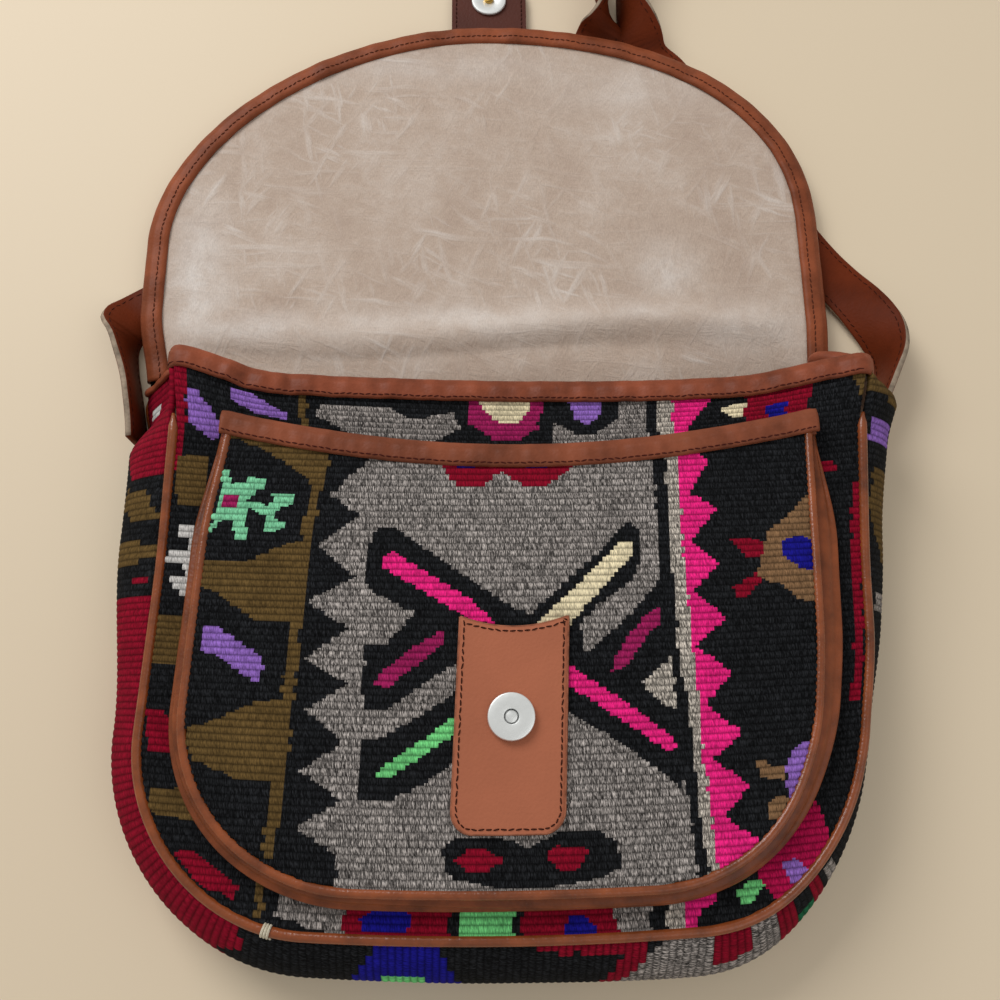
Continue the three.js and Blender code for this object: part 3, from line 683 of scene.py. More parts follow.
# Motifs: a yarn and the corners of its field, each one woven over those before it
POCKET_MOTIFS = (
    ("olive", (
        (-122, 204), (-77, 204), (-78, 173), (-86, 177), (-94, 182), (-102, 187), (-115, 192),
        (-122, 192),
    )),
    ("olive", ((-79, 180), (-80, 108), (-81, 49), (-82, 28), (-86, 28), (-85, 78), (-84, 108), (-83, 180))),
    ("olive", (
        (-81, 149), (-83, 115), (-95, 115), (-105, 121), (-113, 127), (-122, 129), (-121, 139),
        (-102, 139), (-92, 146),
    )),
    ("olive", ((-81, 85), (-80, 59), (-83, 54), (-98, 55), (-113, 61), (-120, 72), (-108, 76), (-94, 84))),
    ("purple", ((-115, 113), (-110, 113), (-94, 102), (-92, 97), (-94, 91), (-108, 100), (-115, 103))),
    ("mint", ((-117, 172), (-107, 173), (-105, 156), (-118, 156))),
    ("mint", ((-119, 178), (-115, 178), (-114, 171), (-117, 170))),
    ("mint", ((-108, 177), (-105, 175), (-101, 175), (-101, 171), (-103, 171), (-105, 166), (-108, 166))),
    ("mint", ((-117, 158), (-114, 157), (-117, 151), (-119, 151))),
    ("mint", ((-110, 159), (-105, 158), (-105, 154), (-103, 154), (-103, 149), (-108, 149))),
    ("mint", (
        (-106, 166), (-97, 163), (-97, 169), (-89, 169), (-89, 164), (-93, 163), (-95, 160), (-94, 158),
        (-90, 157), (-91, 153), (-97, 152), (-97, 159), (-106, 162),
    )),
    ("magenta", rectangle(-116, 162, -110, 167)),
    ("grey", (
        (-61, 204), (-61, 186), (-75, 169), (-63, 160), (-77, 147), (-62, 134), (-79, 124), (-63, 113),
        (-78, 101), (-62, 92), (-76, 82), (-62, 70), (-76, 59), (-61, 49), (-76, 39), (-61, 30),
        (-61, 15), (75, 15), (67, 48), (64, 62), (61, 108), (57, 140), (55, 204),
    )),
    ("black", (
        (-58, 149), (-55, 155), (-49, 155), (-20, 135), (-1, 122), (18, 109), (-22, 109), (-39, 120),
        (-56, 128), (-59, 133),
    )),
    ("pink", ((-53, 142), (-49, 145), (-17, 125), (-7, 116), (-17, 117), (-52, 138))),
    ("black", (
        (-57, 107), (-48, 108), (-39, 120), (-17, 109), (-21, 101), (-34, 92), (-47, 83), (-56, 82),
    )),
    ("magenta", ((-52, 92), (-51, 96), (-39, 106), (-26, 114), (-26, 109), (-47, 91))),
    ("black", ((-56, 71), (-47, 73), (-32, 82), (-21, 90), (-19, 64), (-33, 55), (-45, 49), (-55, 49))),
    ("green", ((-49, 57), (-48, 61), (-21, 81), (-21, 74), (-45, 57))),
    ("black", (
        (-6, 125), (6, 119), (13, 126), (35, 146), (41, 154), (45, 157), (49, 154), (50, 141), (46, 132),
        (33, 123), (24, 113), (-5, 109),
    )),
    ("cream", ((9, 115), (13, 120), (32, 138), (42, 149), (46, 149), (47, 143), (30, 125), (21, 114))),
    ("black", (
        (18, 114), (27, 112), (28, 103), (46, 119), (58, 134), (62, 124), (65, 103), (50, 92), (68, 80),
        (68, 62), (64, 52), (54, 61), (38, 72), (21, 82),
    )),
    ("magenta", ((38, 97), (39, 102), (51, 118), (56, 121), (58, 117), (43, 98))),
    ("pink", ((18, 100), (24, 98), (49, 81), (61, 71), (63, 68), (60, 65), (51, 72), (18, 94))),
    ("stone", ((50, 91), (61, 102), (68, 103), (71, 88), (66, 80), (58, 83))),
    ("black", (
        (55, 204), (60, 204), (62, 140), (63, 108), (68, 80), (70, 58), (76, 15), (71, 15), (67, 48),
        (64, 70), (61, 108), (57, 136),
    )),
    ("stone", (
        (60, 204), (66, 204), (68, 140), (70, 100), (73, 62), (79, 15), (75, 15), (70, 51), (68, 80),
        (64, 100), (62, 140),
    )),
    ("pink", (
        (65, 204), (78, 182), (70, 169), (81, 162), (70, 148), (81, 138), (70, 127), (83, 116),
        (71, 105), (85, 94), (74, 83), (88, 71), (77, 62), (90, 51), (80, 41), (93, 32), (93, 15),
        (79, 15), (73, 62), (70, 100), (67, 140),
    )),
    ("crimson", ((85, 149), (91, 149), (101, 146), (99, 140), (92, 141))),
    ("crimson", ((86, 128), (99, 136), (97, 130), (90, 123), (87, 124))),
    ("tan", (
        (101, 151), (110, 158), (118, 167), (124, 138), (122, 121), (112, 122), (106, 128), (96, 132),
    )),
    ("blue", ((107, 147), (114, 148), (121, 146), (121, 133), (115, 134), (107, 140))),
    ("tan", ((93, 60), (97, 60), (101, 57), (106, 57), (104, 53), (94, 54))),
    ("tan", ((97, 45), (104, 47), (106, 45), (104, 39), (98, 38))),
    ("purple", ((105, 57), (110, 64), (122, 69), (120, 53), (111, 42), (107, 43))),
    ("crimson", (
        (-36, 204), (27, 204), (27, 187), (17, 177), (12, 174), (2, 174), (-7, 180), (-15, 173),
        (-25, 174), (-36, 187),
    )),
    ("blue", ((-27, 190), (-17, 190), (-18, 181), (-26, 182))),
    ("blue", ((1, 190), (14, 190), (11, 181), (3, 182))),
    ("black", (
        (-24, 33), (-18, 37), (-3, 37), (8, 33), (19, 38), (35, 38), (41, 34), (42, 25), (31, 21),
        (5, 19), (-20, 22),
    )),
    ("crimson", ((-19, 29), (-13, 33), (-6, 32), (-1, 29), (-7, 25), (-13, 25))),
    ("crimson", ((14, 30), (19, 34), (30, 32), (28, 26), (22, 24))),
)

FRONT_MOTIFS = (
    ("crimson", ((-158, 234), (-137, 234), (-137, 224), (-139, 206), (-140, 180), (-156, 179))),
    ("purple", ((-138, 214), (-134, 214), (-130, 209), (-125, 199), (-128, 194), (-134, 198), (-139, 202))),
    ("purple", ((-121, 219), (-113, 219), (-105, 214), (-98, 211), (-99, 207), (-111, 209), (-122, 214))),
    ("olive", ((-95, 224), (-91, 224), (-90, 202), (-93, 202))),
    ("grey", (
        (-87, 211), (-85, 218), (-59, 218), (-47, 211), (-35, 214), (-29, 216), (-26, 207), (-38, 199),
        (-68, 199),
    )),
    ("magenta", ((-22, 224), (11, 224), (8, 207), (0, 201), (-11, 201), (-22, 210))),
    ("cream", ((-17, 224), (5, 224), (5, 219), (0, 210), (-8, 210), (-17, 218))),
    ("purple", ((22, 222), (37, 222), (35, 212), (30, 209), (25, 212))),
    ("grey", (
        (14, 202), (16, 210), (25, 204), (32, 203), (44, 212), (44, 222), (56, 222), (56, 190),
        (18, 190),
    )),
    ("stone", ((60, 222), (67, 222), (67, 190), (61, 190))),
    ("pink", ((67, 222), (84, 222), (75, 208), (71, 199), (67, 196))),
    ("cream", ((86, 215), (97, 218), (98, 210), (93, 208))),
    ("crimson", ((97, 222), (123, 222), (122, 207), (108, 200), (97, 202))),
    ("blue", ((105, 213), (114, 215), (113, 207), (106, 206))),
    ("olive", ((137, 224), (154, 226), (154, 210), (142, 211))),
    ("crimson", ((125, 183), (132, 183), (134, 178), (127, 178))),
    ("crimson", ((139, 174), (143, 174), (141, 81), (137, 81))),
    ("olive", ((-141, 186), (-129, 187), (-129, 166), (-140, 165))),
    ("white", ((-134, 156), (-131, 156), (-132, 126), (-134, 126))),
    ("white", ((-138, 156), (-131, 157), (-132, 151), (-138, 151))),
    ("white", ((-141, 145), (-132, 145), (-132, 140), (-142, 140))),
    ("white", ((-139, 134), (-131, 135), (-132, 128), (-139, 130))),
    ("olive", rectangle(-143, 98, -130, 119)),
    ("crimson", ((-142, 79), (-136, 80), (-126, 72), (-125, 62), (-140, 64))),
    ("olive", ((-137, 49), (-122, 51), (-114, 41), (-101, 32), (-112, 34), (-120, 39), (-135, 40))),
    ("crimson", ((-124, 26), (-118, 28), (-99, 16), (-100, 11), (-114, 16))),
    ("olive", ((-93, 26), (-91, 26), (-89, 6), (-92, 6))),
    ("grey", ((-84, 15), (-77, 18), (-60, 18), (-59, 0), (-85, 7))),
    ("crimson", ((-60, 18), (-20, 18), (-20, 0), (-59, 0))),
    ("blue", ((-53, 7), (-48, 12), (-40, 13), (-34, 8), (-35, 3), (-52, 3))),
    ("green", ((-17, 16), (3, 16), (4, 0), (-16, 0))),
    ("crimson", ((7, 16), (40, 16), (45, 0), (7, 0))),
    ("blue", ((22, 3), (26, 9), (29, 9), (35, 4), (34, 1), (22, 0))),
    ("grey", ((37, 16), (54, 16), (55, 0), (45, 0))),
    ("stone", ((60, 16), (67, 16), (68, 0), (61, 0))),
    ("pink", ((66, 17), (82, 19), (80, 11), (74, 8), (71, 0), (68, 0))),
    ("green", ((87, 13), (95, 17), (100, 15), (93, 9), (88, 9))),
    ("rose", ((96, 19), (109, 34), (123, 43), (129, 24), (122, 12), (111, 5), (103, 8))),
    ("purple", ((106, 21), (112, 23), (120, 17), (117, 12), (111, 14))),
)

# Gusset motifs: distance along the seam from the left mouth corner, and place from back seam to front
GUSSET_MOTIFS = (
    ("crimson", ((0, 0), (0, 1), (54, 1), (53, 0.72), (46, 0.62), (20, 0.3), (16, 0))),
    ("white", rectangle(12, 0.16, 17, 0.32)),
    ("olive", ((56, 0.62), (62, 0.56), (72, 0.8), (72, 1), (60, 0.9))),
    ("olive", ((78, 0), (94, 0), (92, 0.75), (88, 1), (82, 1), (80, 0.6))),
    ("crimson", rectangle(96, 0.84, 100, 0.97)),
    ("white", rectangle(106, 0.88, 109, 0.96)),
    ("crimson", ((102, 0), (238, 0), (246, 0.5), (242, 0.7), (250, 0.8), (248, 1), (106, 1))),
    ("blue", ((284, 0), (286, 0.5), (290, 0.7), (298, 1), (322, 1), (326, 0.8), (330, 0.5), (332, 0))),
    ("green", ((298, 0.4), (301, 0.72), (316, 0.74), (319, 0.4))),
    ("crimson", ((358, 0.94), (396, 0.92), (396, 1), (358, 1))),
    ("crimson", ((374, 0.3), (379, 0.3), (400, 0.92), (396, 1), (390, 0.9))),
    ("grey", ((379, 0), (379, 0.3), (400, 0.92), (404, 1), (452, 1), (448, 0))),
    ("crimson", ((424, 0.74), (437, 0.8), (438, 1), (424, 1))),
    ("crimson", ((448, 0), (455, 0), (456, 1), (449, 1))),
    ("dark green", ((455, 0.3), (462, 0.3), (464, 0.75), (456, 0.85))),
    ("crimson", ((463, 0), (469, 0), (471, 1), (464, 1))),
    ("grey", rectangle(472, 0.4, 479, 0.95)),
    ("grey", rectangle(577, 0.4, 586, 0.95)),
    ("olive", ((600, 0), (640, 0), (640, 0.92), (620, 0.98), (600, 0.8))),
    ("purple", rectangle(651, 0.68, 662, 0.97)),
    ("olive", ((670, 0.3), (690, 0.3), (690, 1), (672, 1))),
)

BACK_DIAMONDS = ((60, "crimson"), (180, "pink"), (300, "purple"))
BACK_MOTIFS = (
    ("grey", stripe(-70, 70)),
    *(("black", diamond(y, 60, 30)) for y, _ in BACK_DIAMONDS),
    *((yarn, diamond(y, 34, 17)) for y, yarn in BACK_DIAMONDS),
    ("pink", stripe(78, 92)),
    ("olive", stripe(-110, -96)),
    ("crimson", ((-150, 40), (-122, 60), (-150, 80))),
    ("green", ((150, 100), (120, 124), (150, 148))),
    ("crimson", ((-150, 240), (-122, 260), (-150, 280))),
)


def inside_outline(corners, x, y):
    """Whether places lie inside a closed outline."""
    inside = np.zeros(x.shape, bool)
    for (x0, y0), (x1, y1) in zip(corners, corners[1:] + corners[:1]):
        if y0 == y1:
            continue
        crosses = (y0 > y) != (y1 > y)
        inside ^= crosses & (x < x0 + (y - y0) * (x1 - x0) / (y1 - y0))
    return inside


def weave(motifs, x, y):
    """The yarn's colour and how marled it is at each place, the last motif on top; for black the share is
    painted sheen.
    """
    colours = np.empty((*x.shape, 4))
    colours[:] = YARNS["black"]
    marl_and_sheen = np.full(x.shape, MARL_AND_SHEEN["black"])
    for yarn, corners in motifs:
        held = inside_outline(corners, x, y)
        colours[held] = YARNS[yarn]
        marl_and_sheen[held] = MARL_AND_SHEEN.get(yarn, 0.0)
    return colours, marl_and_sheen


def ridge_height(rows):
    """Swell of the ridges over rows of points, from 0 in a furrow to 1."""
    return np.sin(np.pi * (np.arange(rows) % ROWS_PER_RIDGE) / ROWS_PER_RIDGE)


def dress_weave(piece, kept, colours, marl_and_sheen, uv):
    """Puts the yarn colours on the faces, and the weave's own places in a map."""
    mesh = piece.data
    yarn = mesh.color_attributes.new("yarn", "FLOAT_COLOR", "CORNER")
    yarn.data.foreach_set("color", np.repeat(colours[kept], 4, axis=0).ravel())
    strands = mesh.attributes.new("marl_and_sheen", "FLOAT", "CORNER")
    strands.data.foreach_set("value", np.repeat(marl_and_sheen[kept], 4).ravel())
    layer = mesh.uv_layers.new(name="weave")
    loops = np.empty(len(mesh.loops), int)
    mesh.loops.foreach_get("vertex_index", loops)
    layer.data.foreach_set("uv", (uv[loops] / MAP_UNIT).ravel())


def woven_sheet(name, points, rows_at, columns_at, kept, colours, marl_and_sheen, swell):
    """A kilim sheet over a grid of its outer face, ridged row by row, with its colours."""
    ridges = ridge_height(len(points))[:, None, None]
    piece, used = grid_sheet(name, points + grid_normals(points) * (ridges - 1) * swell, kept)
    grid_uv = np.stack(np.meshgrid(columns_at, rows_at), -1).reshape(-1, 2)
    dress_weave(piece, kept, colours, marl_and_sheen, grid_uv[used])
    thicken(piece, KILIM)
    return piece


def woven_panel(name, rim_sizes, inside, place, motifs):
    """A kilim panel in the plane of the front, its ridges counted down from the mouth."""
    half, _, low, high = rim_sizes
    first = math.floor((BODY_HEIGHT - high) / RIDGE_PITCH)
    last = math.ceil((BODY_HEIGHT - low) / RIDGE_PITCH)
    ridges = last - first
    steps = np.arange(ridges * ROWS_PER_RIDGE + 1) / ROWS_PER_RIDGE
    rows_at = BODY_HEIGHT - RIDGE_PITCH * (last - steps)
    columns_at = np.arange(-half, half + THREAD_STEP, THREAD_STEP)
    points = place(*np.meshgrid(columns_at, rows_at))
    face_x, face_y = np.meshgrid(middles(columns_at), middles(rows_at))
    ridge = np.arange(len(face_y)) // ROWS_PER_RIDGE
    ridge_y = (rows_at[0] + (ridge + 0.5) * RIDGE_PITCH)[:, None]
    ragged = dice.uniform(-PANEL_RAGGED, PANEL_RAGGED, ridges)[ridge][:, None]
    colours, marl_and_sheen = weave(motifs, face_x + ragged, mix(ridge_y, face_y, STEP_SOFTNESS))
    kept = inside(face_x, face_y)
    return woven_sheet(name, points, rows_at, columns_at, kept, colours, marl_and_sheen, RIDGE_SWELL)


# Materials


def new_material(name):
    material = bpy.data.materials.new(name)
    material.use_nodes = True
    return material, material.node_tree


def feed(tree, node, **inputs):
    """Gives a node's inputs, by name, a value or another node's output."""
    for title, value in inputs.items():
        socket = node.inputs[title.replace("_", " ")]
        if isinstance(value, bpy.types.NodeSocket):
            tree.links.new(value, socket)
        else:
            socket.default_value = value


def feed_shader(tree, **inputs):
    feed(tree, tree.nodes["Principled BSDF"], **inputs)


def add_node(tree, kind, **inputs):
    node = tree.nodes.new(f"ShaderNode{kind}")
    feed(tree, node, **inputs)
    return node


def noise(tree, vector, scale, detail=2.0, roughness=0.5):
    node = add_node(tree, "TexNoise", Vector=vector, Scale=scale, Detail=detail, Roughness=roughness)
    return node.outputs["Fac"]


def ramp(tree, value, *stops):
    """A colour ramp through (place, colour) stops."""
    node = add_node(tree, "ValToRGB", Fac=value)
    elements = node.color_ramp.elements
    while len(elements) < len(stops):
        elements.new(0.5)
    for element, (place, colour) in zip(elements, stops):
        element.position = place
        element.color = colour
    return node.outputs["Color"]


def shades(tree, value, *stops):
    """A ramp of greys through (place, lightness) stops, to multiply a colour by or to take as a share."""
    return ramp(tree, value, *((place, (light, light, light, 1.0)) for place, light in stops))


def stretch(tree, vector, scale):
    return add_node(tree, "Mapping", Vector=vector, Scale=scale).outputs["Vector"]


def blend_colours(tree, share, first, second, mode="MIX"):
    node = tree.nodes.new("ShaderNodeMix")
    node.data_type = "RGBA"
    node.blend_type = mode
    feed(tree, node, Factor=share, A=first, B=second)
    return node.outputs["Result"]


def maths(tree, operation, first, second=0.0):
    node = tree.nodes.new("ShaderNodeMath")
    node.operation = operation
    for socket, value in zip(node.inputs, (first, second)):
        if isinstance(value, bpy.types.NodeSocket):
            tree.links.new(value, socket)
        else:
            socket.default_value = value
    return node.outputs["Value"]


def bump(tree, height, strength, distance):
    node = add_node(tree, "Bump", Height=height, Strength=strength, Distance=distance)
    return node.outputs["Normal"]


def object_places(tree):
    return tree.nodes.new("ShaderNodeTexCoord").outputs["Object"]


def mesh_attribute(tree, name):
    node = tree.nodes.new("ShaderNodeAttribute")
    node.attribute_name = name
    return node.outputs


def toned(colour, share):
    """A colour made darker or lighter."""
    return (*(part * share for part in colour[:3]), 1.0)


def kilim_wool():
    """Weft-faced wool: yarn colours from the weave, strokes of single wefts across ridges, painted shade in
    the furrows with a faint painted highlight along the ridges, and painted sheen as bright strokes on black
    yarn.
    """
    material, tree = new_material("kilim wool")
    places = tree.nodes.new("ShaderNodeUVMap")
    places.uv_map = "weave"
    split = add_node(tree, "SeparateXYZ", Vector=places.outputs["UV"])
    phase = maths(tree, "MULTIPLY", split.outputs["Y"], MAP_UNIT / RIDGE_PITCH)
    ridge = maths(tree, "FLOOR", phase)
    within = maths(tree, "FRACT", phase)
    wefts = maths(tree, "MULTIPLY", split.outputs["X"], MAP_UNIT / WEFT_STEP)
    slanted = add_node(
        tree,
        "CombineXYZ",
        X=maths(tree, "ADD", wefts, within),
        Y=maths(tree, "MULTIPLY", ridge, RIDGE_SHIFT),
        Z=maths(tree, "MULTIPLY", within, WEFT_SLANT),
    )
    strokes = noise(tree, slanted.outputs["Vector"], 1.0, 2.0, 0.7)
    blotches = noise(tree, places.outputs["UV"], 9.0, 3.0)
    # Strands of marled yarn; on black yarn the bright strokes are painted sheen, a painted highlight on the
    # fibres
    strand = shades(tree, strokes, (0.36, 0.12), (0.5, 0.8), (0.66, 2.9))
    plain = shades(tree, strokes, (0.34, 0.56), (0.5, 1.0), (0.68, 1.5))
    twist = blend_colours(tree, mesh_attribute(tree, "marl_and_sheen")["Fac"], plain, strand)
    # Painted shade: darkens each furrow between ridges and lightens the ridges' middles a little, as light
    # and shade across the ridges
    furrow = shades(tree, maths(tree, "PINGPONG", within, 0.5), (0.0, 0.48), (0.14, 0.84), (0.32, 1.1))
    worn = shades(tree, blotches, (0.3, 0.85), (0.7, 1.15))
    colour = mesh_attribute(tree, "yarn")["Color"]
    for shade in (twist, furrow, worn):
        colour = blend_colours(tree, 1.0, colour, shade, "MULTIPLY")
    feed_shader(tree, Base_Color=colour, Normal=bump(tree, strokes, 0.6, 0.0006))
    feed_shader(tree, Roughness=0.9, Specular_IOR_Level=0.08)
    return material


def leather_group():
    """Grain height and tone of smooth leather, with slow changes of colour."""
    group = bpy.data.node_groups.new("leather surface", "ShaderNodeTree")
    for title in ("Grain Scale", "Tone Scale"):
        group.interface.new_socket(title, in_out="INPUT", socket_type="NodeSocketFloat")
    for title in ("Height", "Tone"):
        group.interface.new_socket(title, in_out="OUTPUT", socket_type="NodeSocketFloat")
    given = group.nodes.new("NodeGroupInput").outputs
    result = group.nodes.new("NodeGroupOutput")
    places = object_places(group)
    pores = add_node(group, "TexVoronoi", Vector=places, Scale=given["Grain Scale"])
    pores.feature = "SMOOTH_F1"
    fine = noise(group, places, given["Grain Scale"], 3.0)
    slow = noise(group, places, given["Tone Scale"], 5.0, 0.6)
    feed(group, result, Height=maths(group, "ADD", pores.outputs["Distance"], fine), Tone=slow)
    return group


LEATHER = leather_group()


def leather(name, plain, spread, roughness=0.5, tone_scale=30.0, gloss=0.16):
    """Smooth leather of a plain tone, darker and lighter in slow patches by a spread."""
    material, tree = new_material(name)
    surface = tree.nodes.new("ShaderNodeGroup")
    surface.node_tree = LEATHER
    feed(tree, surface, Grain_Scale=GRAIN_SCALE, Tone_Scale=tone_scale)
    dark = toned(plain, 1 - 1.6 * spread)
    light = toned(plain, 1 + 1.6 * spread)
    colour = ramp(tree, surface.outputs["Tone"], (0.3, dark), (0.5, plain), (0.72, light))
    feed_shader(tree, Base_Color=colour, Normal=bump(tree, surface.outputs["Height"], 0.25, 0.0004))
    feed_shader(tree, Roughness=roughness, Specular_IOR_Level=gloss)
    return material


# Creases of the lining: turn in degrees, and how tightly they lie along and across
CREASES = ((25, (30, 190, 1)), (118, (26, 160, 1)), (75, (28, 170, 1)), (4, (14, 160, 1)))


def canvas_creases(tree, places):
    """Fine wavering creases that lie every way, as a height."""
    waver = add_node(tree, "TexNoise", Vector=places, Scale=9.0, Detail=3.0)
    bent = tree.nodes.new("ShaderNodeVectorMath")
    bent.operation = "MULTIPLY_ADD"
    tree.links.new(waver.outputs["Color"], bent.inputs[0])
    bent.inputs[1].default_value = (0.03, 0.03, 0.0)
    tree.links.new(places, bent.inputs[2])
    creases = None
    for turn, scale in CREASES:
        rotation = (0, 0, math.radians(turn))
        turned = add_node(tree, "Mapping", Vector=bent.outputs["Vector"], Rotation=rotation)
        layer = noise(tree, stretch(tree, turned.outputs["Vector"], scale), 1.0, 3.0, 0.6)
        creases = layer if creases is None else maths(tree, "MAXIMUM", creases, layer)
    return creases


def lining_canvas():
    """Plain canvas, mottled and rubbed pale along its creases, with a painted highlight along the roll above
    the mouth and pale patches.
    """
    material, tree = new_material("lining canvas")
    places = object_places(tree)
    creases = canvas_creases(tree, places)
    patches = noise(tree, places, 24.0, 7.0, 0.75)
    tones = ((0.3, srgb(177, 155, 139)), (0.5, srgb(189, 169, 153)), (0.7, srgb(203, 187, 174)))
    worn = shades(tree, noise(tree, places, 16.0, 2.0), (0.42, 0.12), (0.64, 1.0))
    share = maths(tree, "MULTIPLY", shades(tree, creases, (0.56, 0.0), (0.74, 0.62)), worn)
    # Painted highlight on the roll above the mouth and pale patches, read from a mesh attribute and mottled
    # by noise
    pale_mottle = shades(tree, noise(tree, places, 60.0, 4.0, 0.65), (0.3, 0.2), (0.66, 1.0))
    roll_highlight_and_patches = maths(tree, "MULTIPLY", mesh_attribute(tree, "pale_and_highlight")["Fac"], pale_mottle)
    pale = maths(tree, "MAXIMUM", share, roll_highlight_and_patches)
    # Paled along the worn creases and by the painted highlight and patches
    rubbed = blend_colours(tree, pale, ramp(tree, patches, *tones), srgb(224, 216, 209))
    threads = noise(tree, stretch(tree, places, (2600, 700, 700)), 1.0, 1.0)
    shade = shades(tree, threads, (0.3, 0.9), (0.7, 1.06))
    crinkled = add_node(
        tree,
        "Bump",
        Height=maths(tree, "ADD", creases, patches),
        Strength=0.5,
        Distance=0.002,
        Normal=bump(tree, threads, 0.15, 0.0004),
    )
    feed_shader(tree, Base_Color=blend_colours(tree, 1.0, rubbed, shade, "MULTIPLY"))
    feed_shader(tree, Normal=crinkled.outputs["Normal"], Roughness=0.85, Specular_IOR_Level=0.3)
    return material


def metal(name, colour, roughness, plating=1.0):
    """Plated metal with faint handling marks."""
    material, tree = new_material(name)
    marks = noise(tree, object_places(tree), 700.0, 3.0, 0.6)
    rubbed = shades(tree, marks, (0.3, roughness * 0.92), (0.7, roughness * 1.1))
    feed_shader(tree, Base_Color=colour, Metallic=plating, Roughness=rubbed)
    return material


def thread_material(name, colour):
    """Waxed sewing thread with a fine twist."""
    material, tree = new_material(name)
    twist = noise(tree, object_places(tree), 2600.0, 1.0)
    feed_shader(tree, Base_Color=ramp(tree, twist, (0.35, toned(colour, 0.6)), (0.65, colour)))
    feed_shader(tree, Roughness=0.7, Specular_IOR_Level=0.1)
    return material


WOOL = kilim_wool()
CANVAS_CLOTH = lining_canvas()
FLAP_TAN = leather("flap binding leather", srgb(134, 71, 44), 0.22, 0.48, 55.0, 0.14)
MOUTH_TAN = leather("mouth binding leather", srgb(134, 70, 47), 0.26, 0.46, 55.0, 0.16)
POCKET_TAN = leather("pocket binding leather", srgb(130, 71, 48), 0.22, 0.48, 50.0, 0.14)
PATCH_TAN = leather("patch leather", srgb(172, 102, 74), 0.07, 0.55, 18.0)
PIPING_TAN = leather("piping leather", srgb(132, 67, 32), 0.28, 0.27, 70.0, 0.5)
BAND_TAN = leather("pocket band leather", srgb(122, 62, 31), 0.3, 0.36, 70.0, 0.3)
TONGUE_BROWN = leather("tongue leather", srgb(80, 42, 33), 0.12)
STRAP_BROWN = leather("strap leather", srgb(101, 42, 20), 0.22, 0.5, 24.0, 0.06)
STEEL = metal("plated steel", srgb(238, 240, 238), 0.34, 0.55)
BRASS = metal("snap brass", srgb(196, 158, 84), 0.3)
MAGNET = metal("magnet", srgb(58, 58, 60), 0.5)
BROWN_THREAD = thread_material("brown thread", srgb(78, 28, 22))
TAN_THREAD = thread_material("tan thread", srgb(92, 46, 30))
DARK_THREAD = thread_material("dark thread", srgb(62, 26, 16))
CREAM_THREAD = thread_material("cream thread", srgb(226, 216, 192))
RAW_EDGE = leather("raw leather edge", srgb(150, 134, 116), 0.3, 0.85, 200.0)
PATCH_EDGE = leather("patch edge", srgb(150, 92, 68), 0.3, 0.8, 200.0)


def finish_piece(piece, material, slot, *nodes):
    """Gives a piece its material and its place on the bag, and hides the CAD nodes it stands for; the slot
    is not used.
    """
    piece.data.materials.clear()
    piece.data.materials.append(material)
    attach(piece, "root")
    if nodes:
        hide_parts(*nodes)


# Camera

CAMERA_PLACE = (-12.4, 53.5, 440.0)
CAMERA_RIGHT = Vector((0.9998, -0.0102, 0.0143))
CAMERA_UP = Vector((0.0059, 0.9603, 0.2788))
CAMERA_LENS = 36.0
CAMERA_SENSOR = 36.0


def add_camera():
    lens = bpy.data.cameras.new("camera")
    lens.sensor_width = CAMERA_SENSOR
    lens.lens = CAMERA_LENS
    lens.clip_start = 0.01
    camera = bpy.data.objects.new("camera", lens)
    bpy.context.collection.objects.link(camera)
    back = CAMERA_RIGHT.cross(CAMERA_UP)
    turn = Matrix((CAMERA_RIGHT, CAMERA_UP, back)).transposed()
    camera.rotation_euler = turn.to_euler()
    camera.location = to_frame(CAMERA_PLACE).tolist()
    bpy.context.scene.camera = camera


add_camera()


# Strap

STRAP_RINGS = 420
STRAP_EDGE = 0.7
STRAP_STITCH_INSET = 2.6


def strap_line():
    """The strap's middle line and the way its outer face looks at each place."""
    line = smooth_path(STRAP_ROUTE, STRAP_RINGS)
    tilt = np.radians(line[:, 3])
    path = line[:, :3].copy()
    rest = PLAY + STRAP_WIDTH / 2 * np.sin(tilt) + STRAP_THICKNESS / 2 * np.cos(tilt)
    path[:, 2] = np.maximum(path[:, 2], rest)
    tangents = unit(np.gradient(path, axis=0))
    level = unit(np.cross(UP, tangents))
    rising = np.cross(tangents, level)
    across = level * np.cos(tilt)[:, None] + rising * np.sin(tilt)[:, None]
    return path, unit(np.cross(across, tangents))


def make_strap():
    """A strip of leather with raw cut edges and a row of stitches along each edge of both faces."""
    path, faces = strap_line()
    half = STRAP_WIDTH / 2
    thick = STRAP_THICKNESS / 2
    worn = STRAP_EDGE / 2
    upper = np.array([
        (thick, STRAP_EDGE - half),
        (thick, half - STRAP_EDGE),
        (thick - worn, half),
        (worn - thick, half),
    ])
    section = np.vstack([upper, -upper])
    strap = sweep("strap_leather", path, faces, section)
    finish_piece(strap, STRAP_BROWN, "strap_leather", "strap")
    strap.data.materials.append(RAW_EDGE)
    for face in strap.data.polygons[: (STRAP_RINGS - 1) * len(section)]:
        if face.index % len(upper) == 2:
            face.material_index = 1
    for name, side in (("strap_stitches_left", 1), ("strap_stitches_right", -1)):
        for title, look in (("inner", -1), ("outer", 1)):
            inset = side * (half - STRAP_STITCH_INSET)
            row = stitches(f"{name}_{title}", path, faces * look, thick, inset, 2.4, 3.4, 0.2)
            finish_piece(row, DARK_THREAD, "strap_leather")


make_strap()


# Kilim panels

GUSSET_COLUMNS = 26
GUSSET_RAGGED = 0.02
GUSSET_MAP_WIDTH = 55.0
GUSSET_TRIM = 0.84
BACK_COLUMNS = 101
BACK_MAP_WIDTH = 300.0
BACK_TUCK = 1.2


def front_place(x, y):
    return settle(x, y, front_height(x, y) + KILIM / 2)


def pocket_place(x, y):
    return pocket_settle(x, y, pocket_height(x, y) + KILIM / 2)


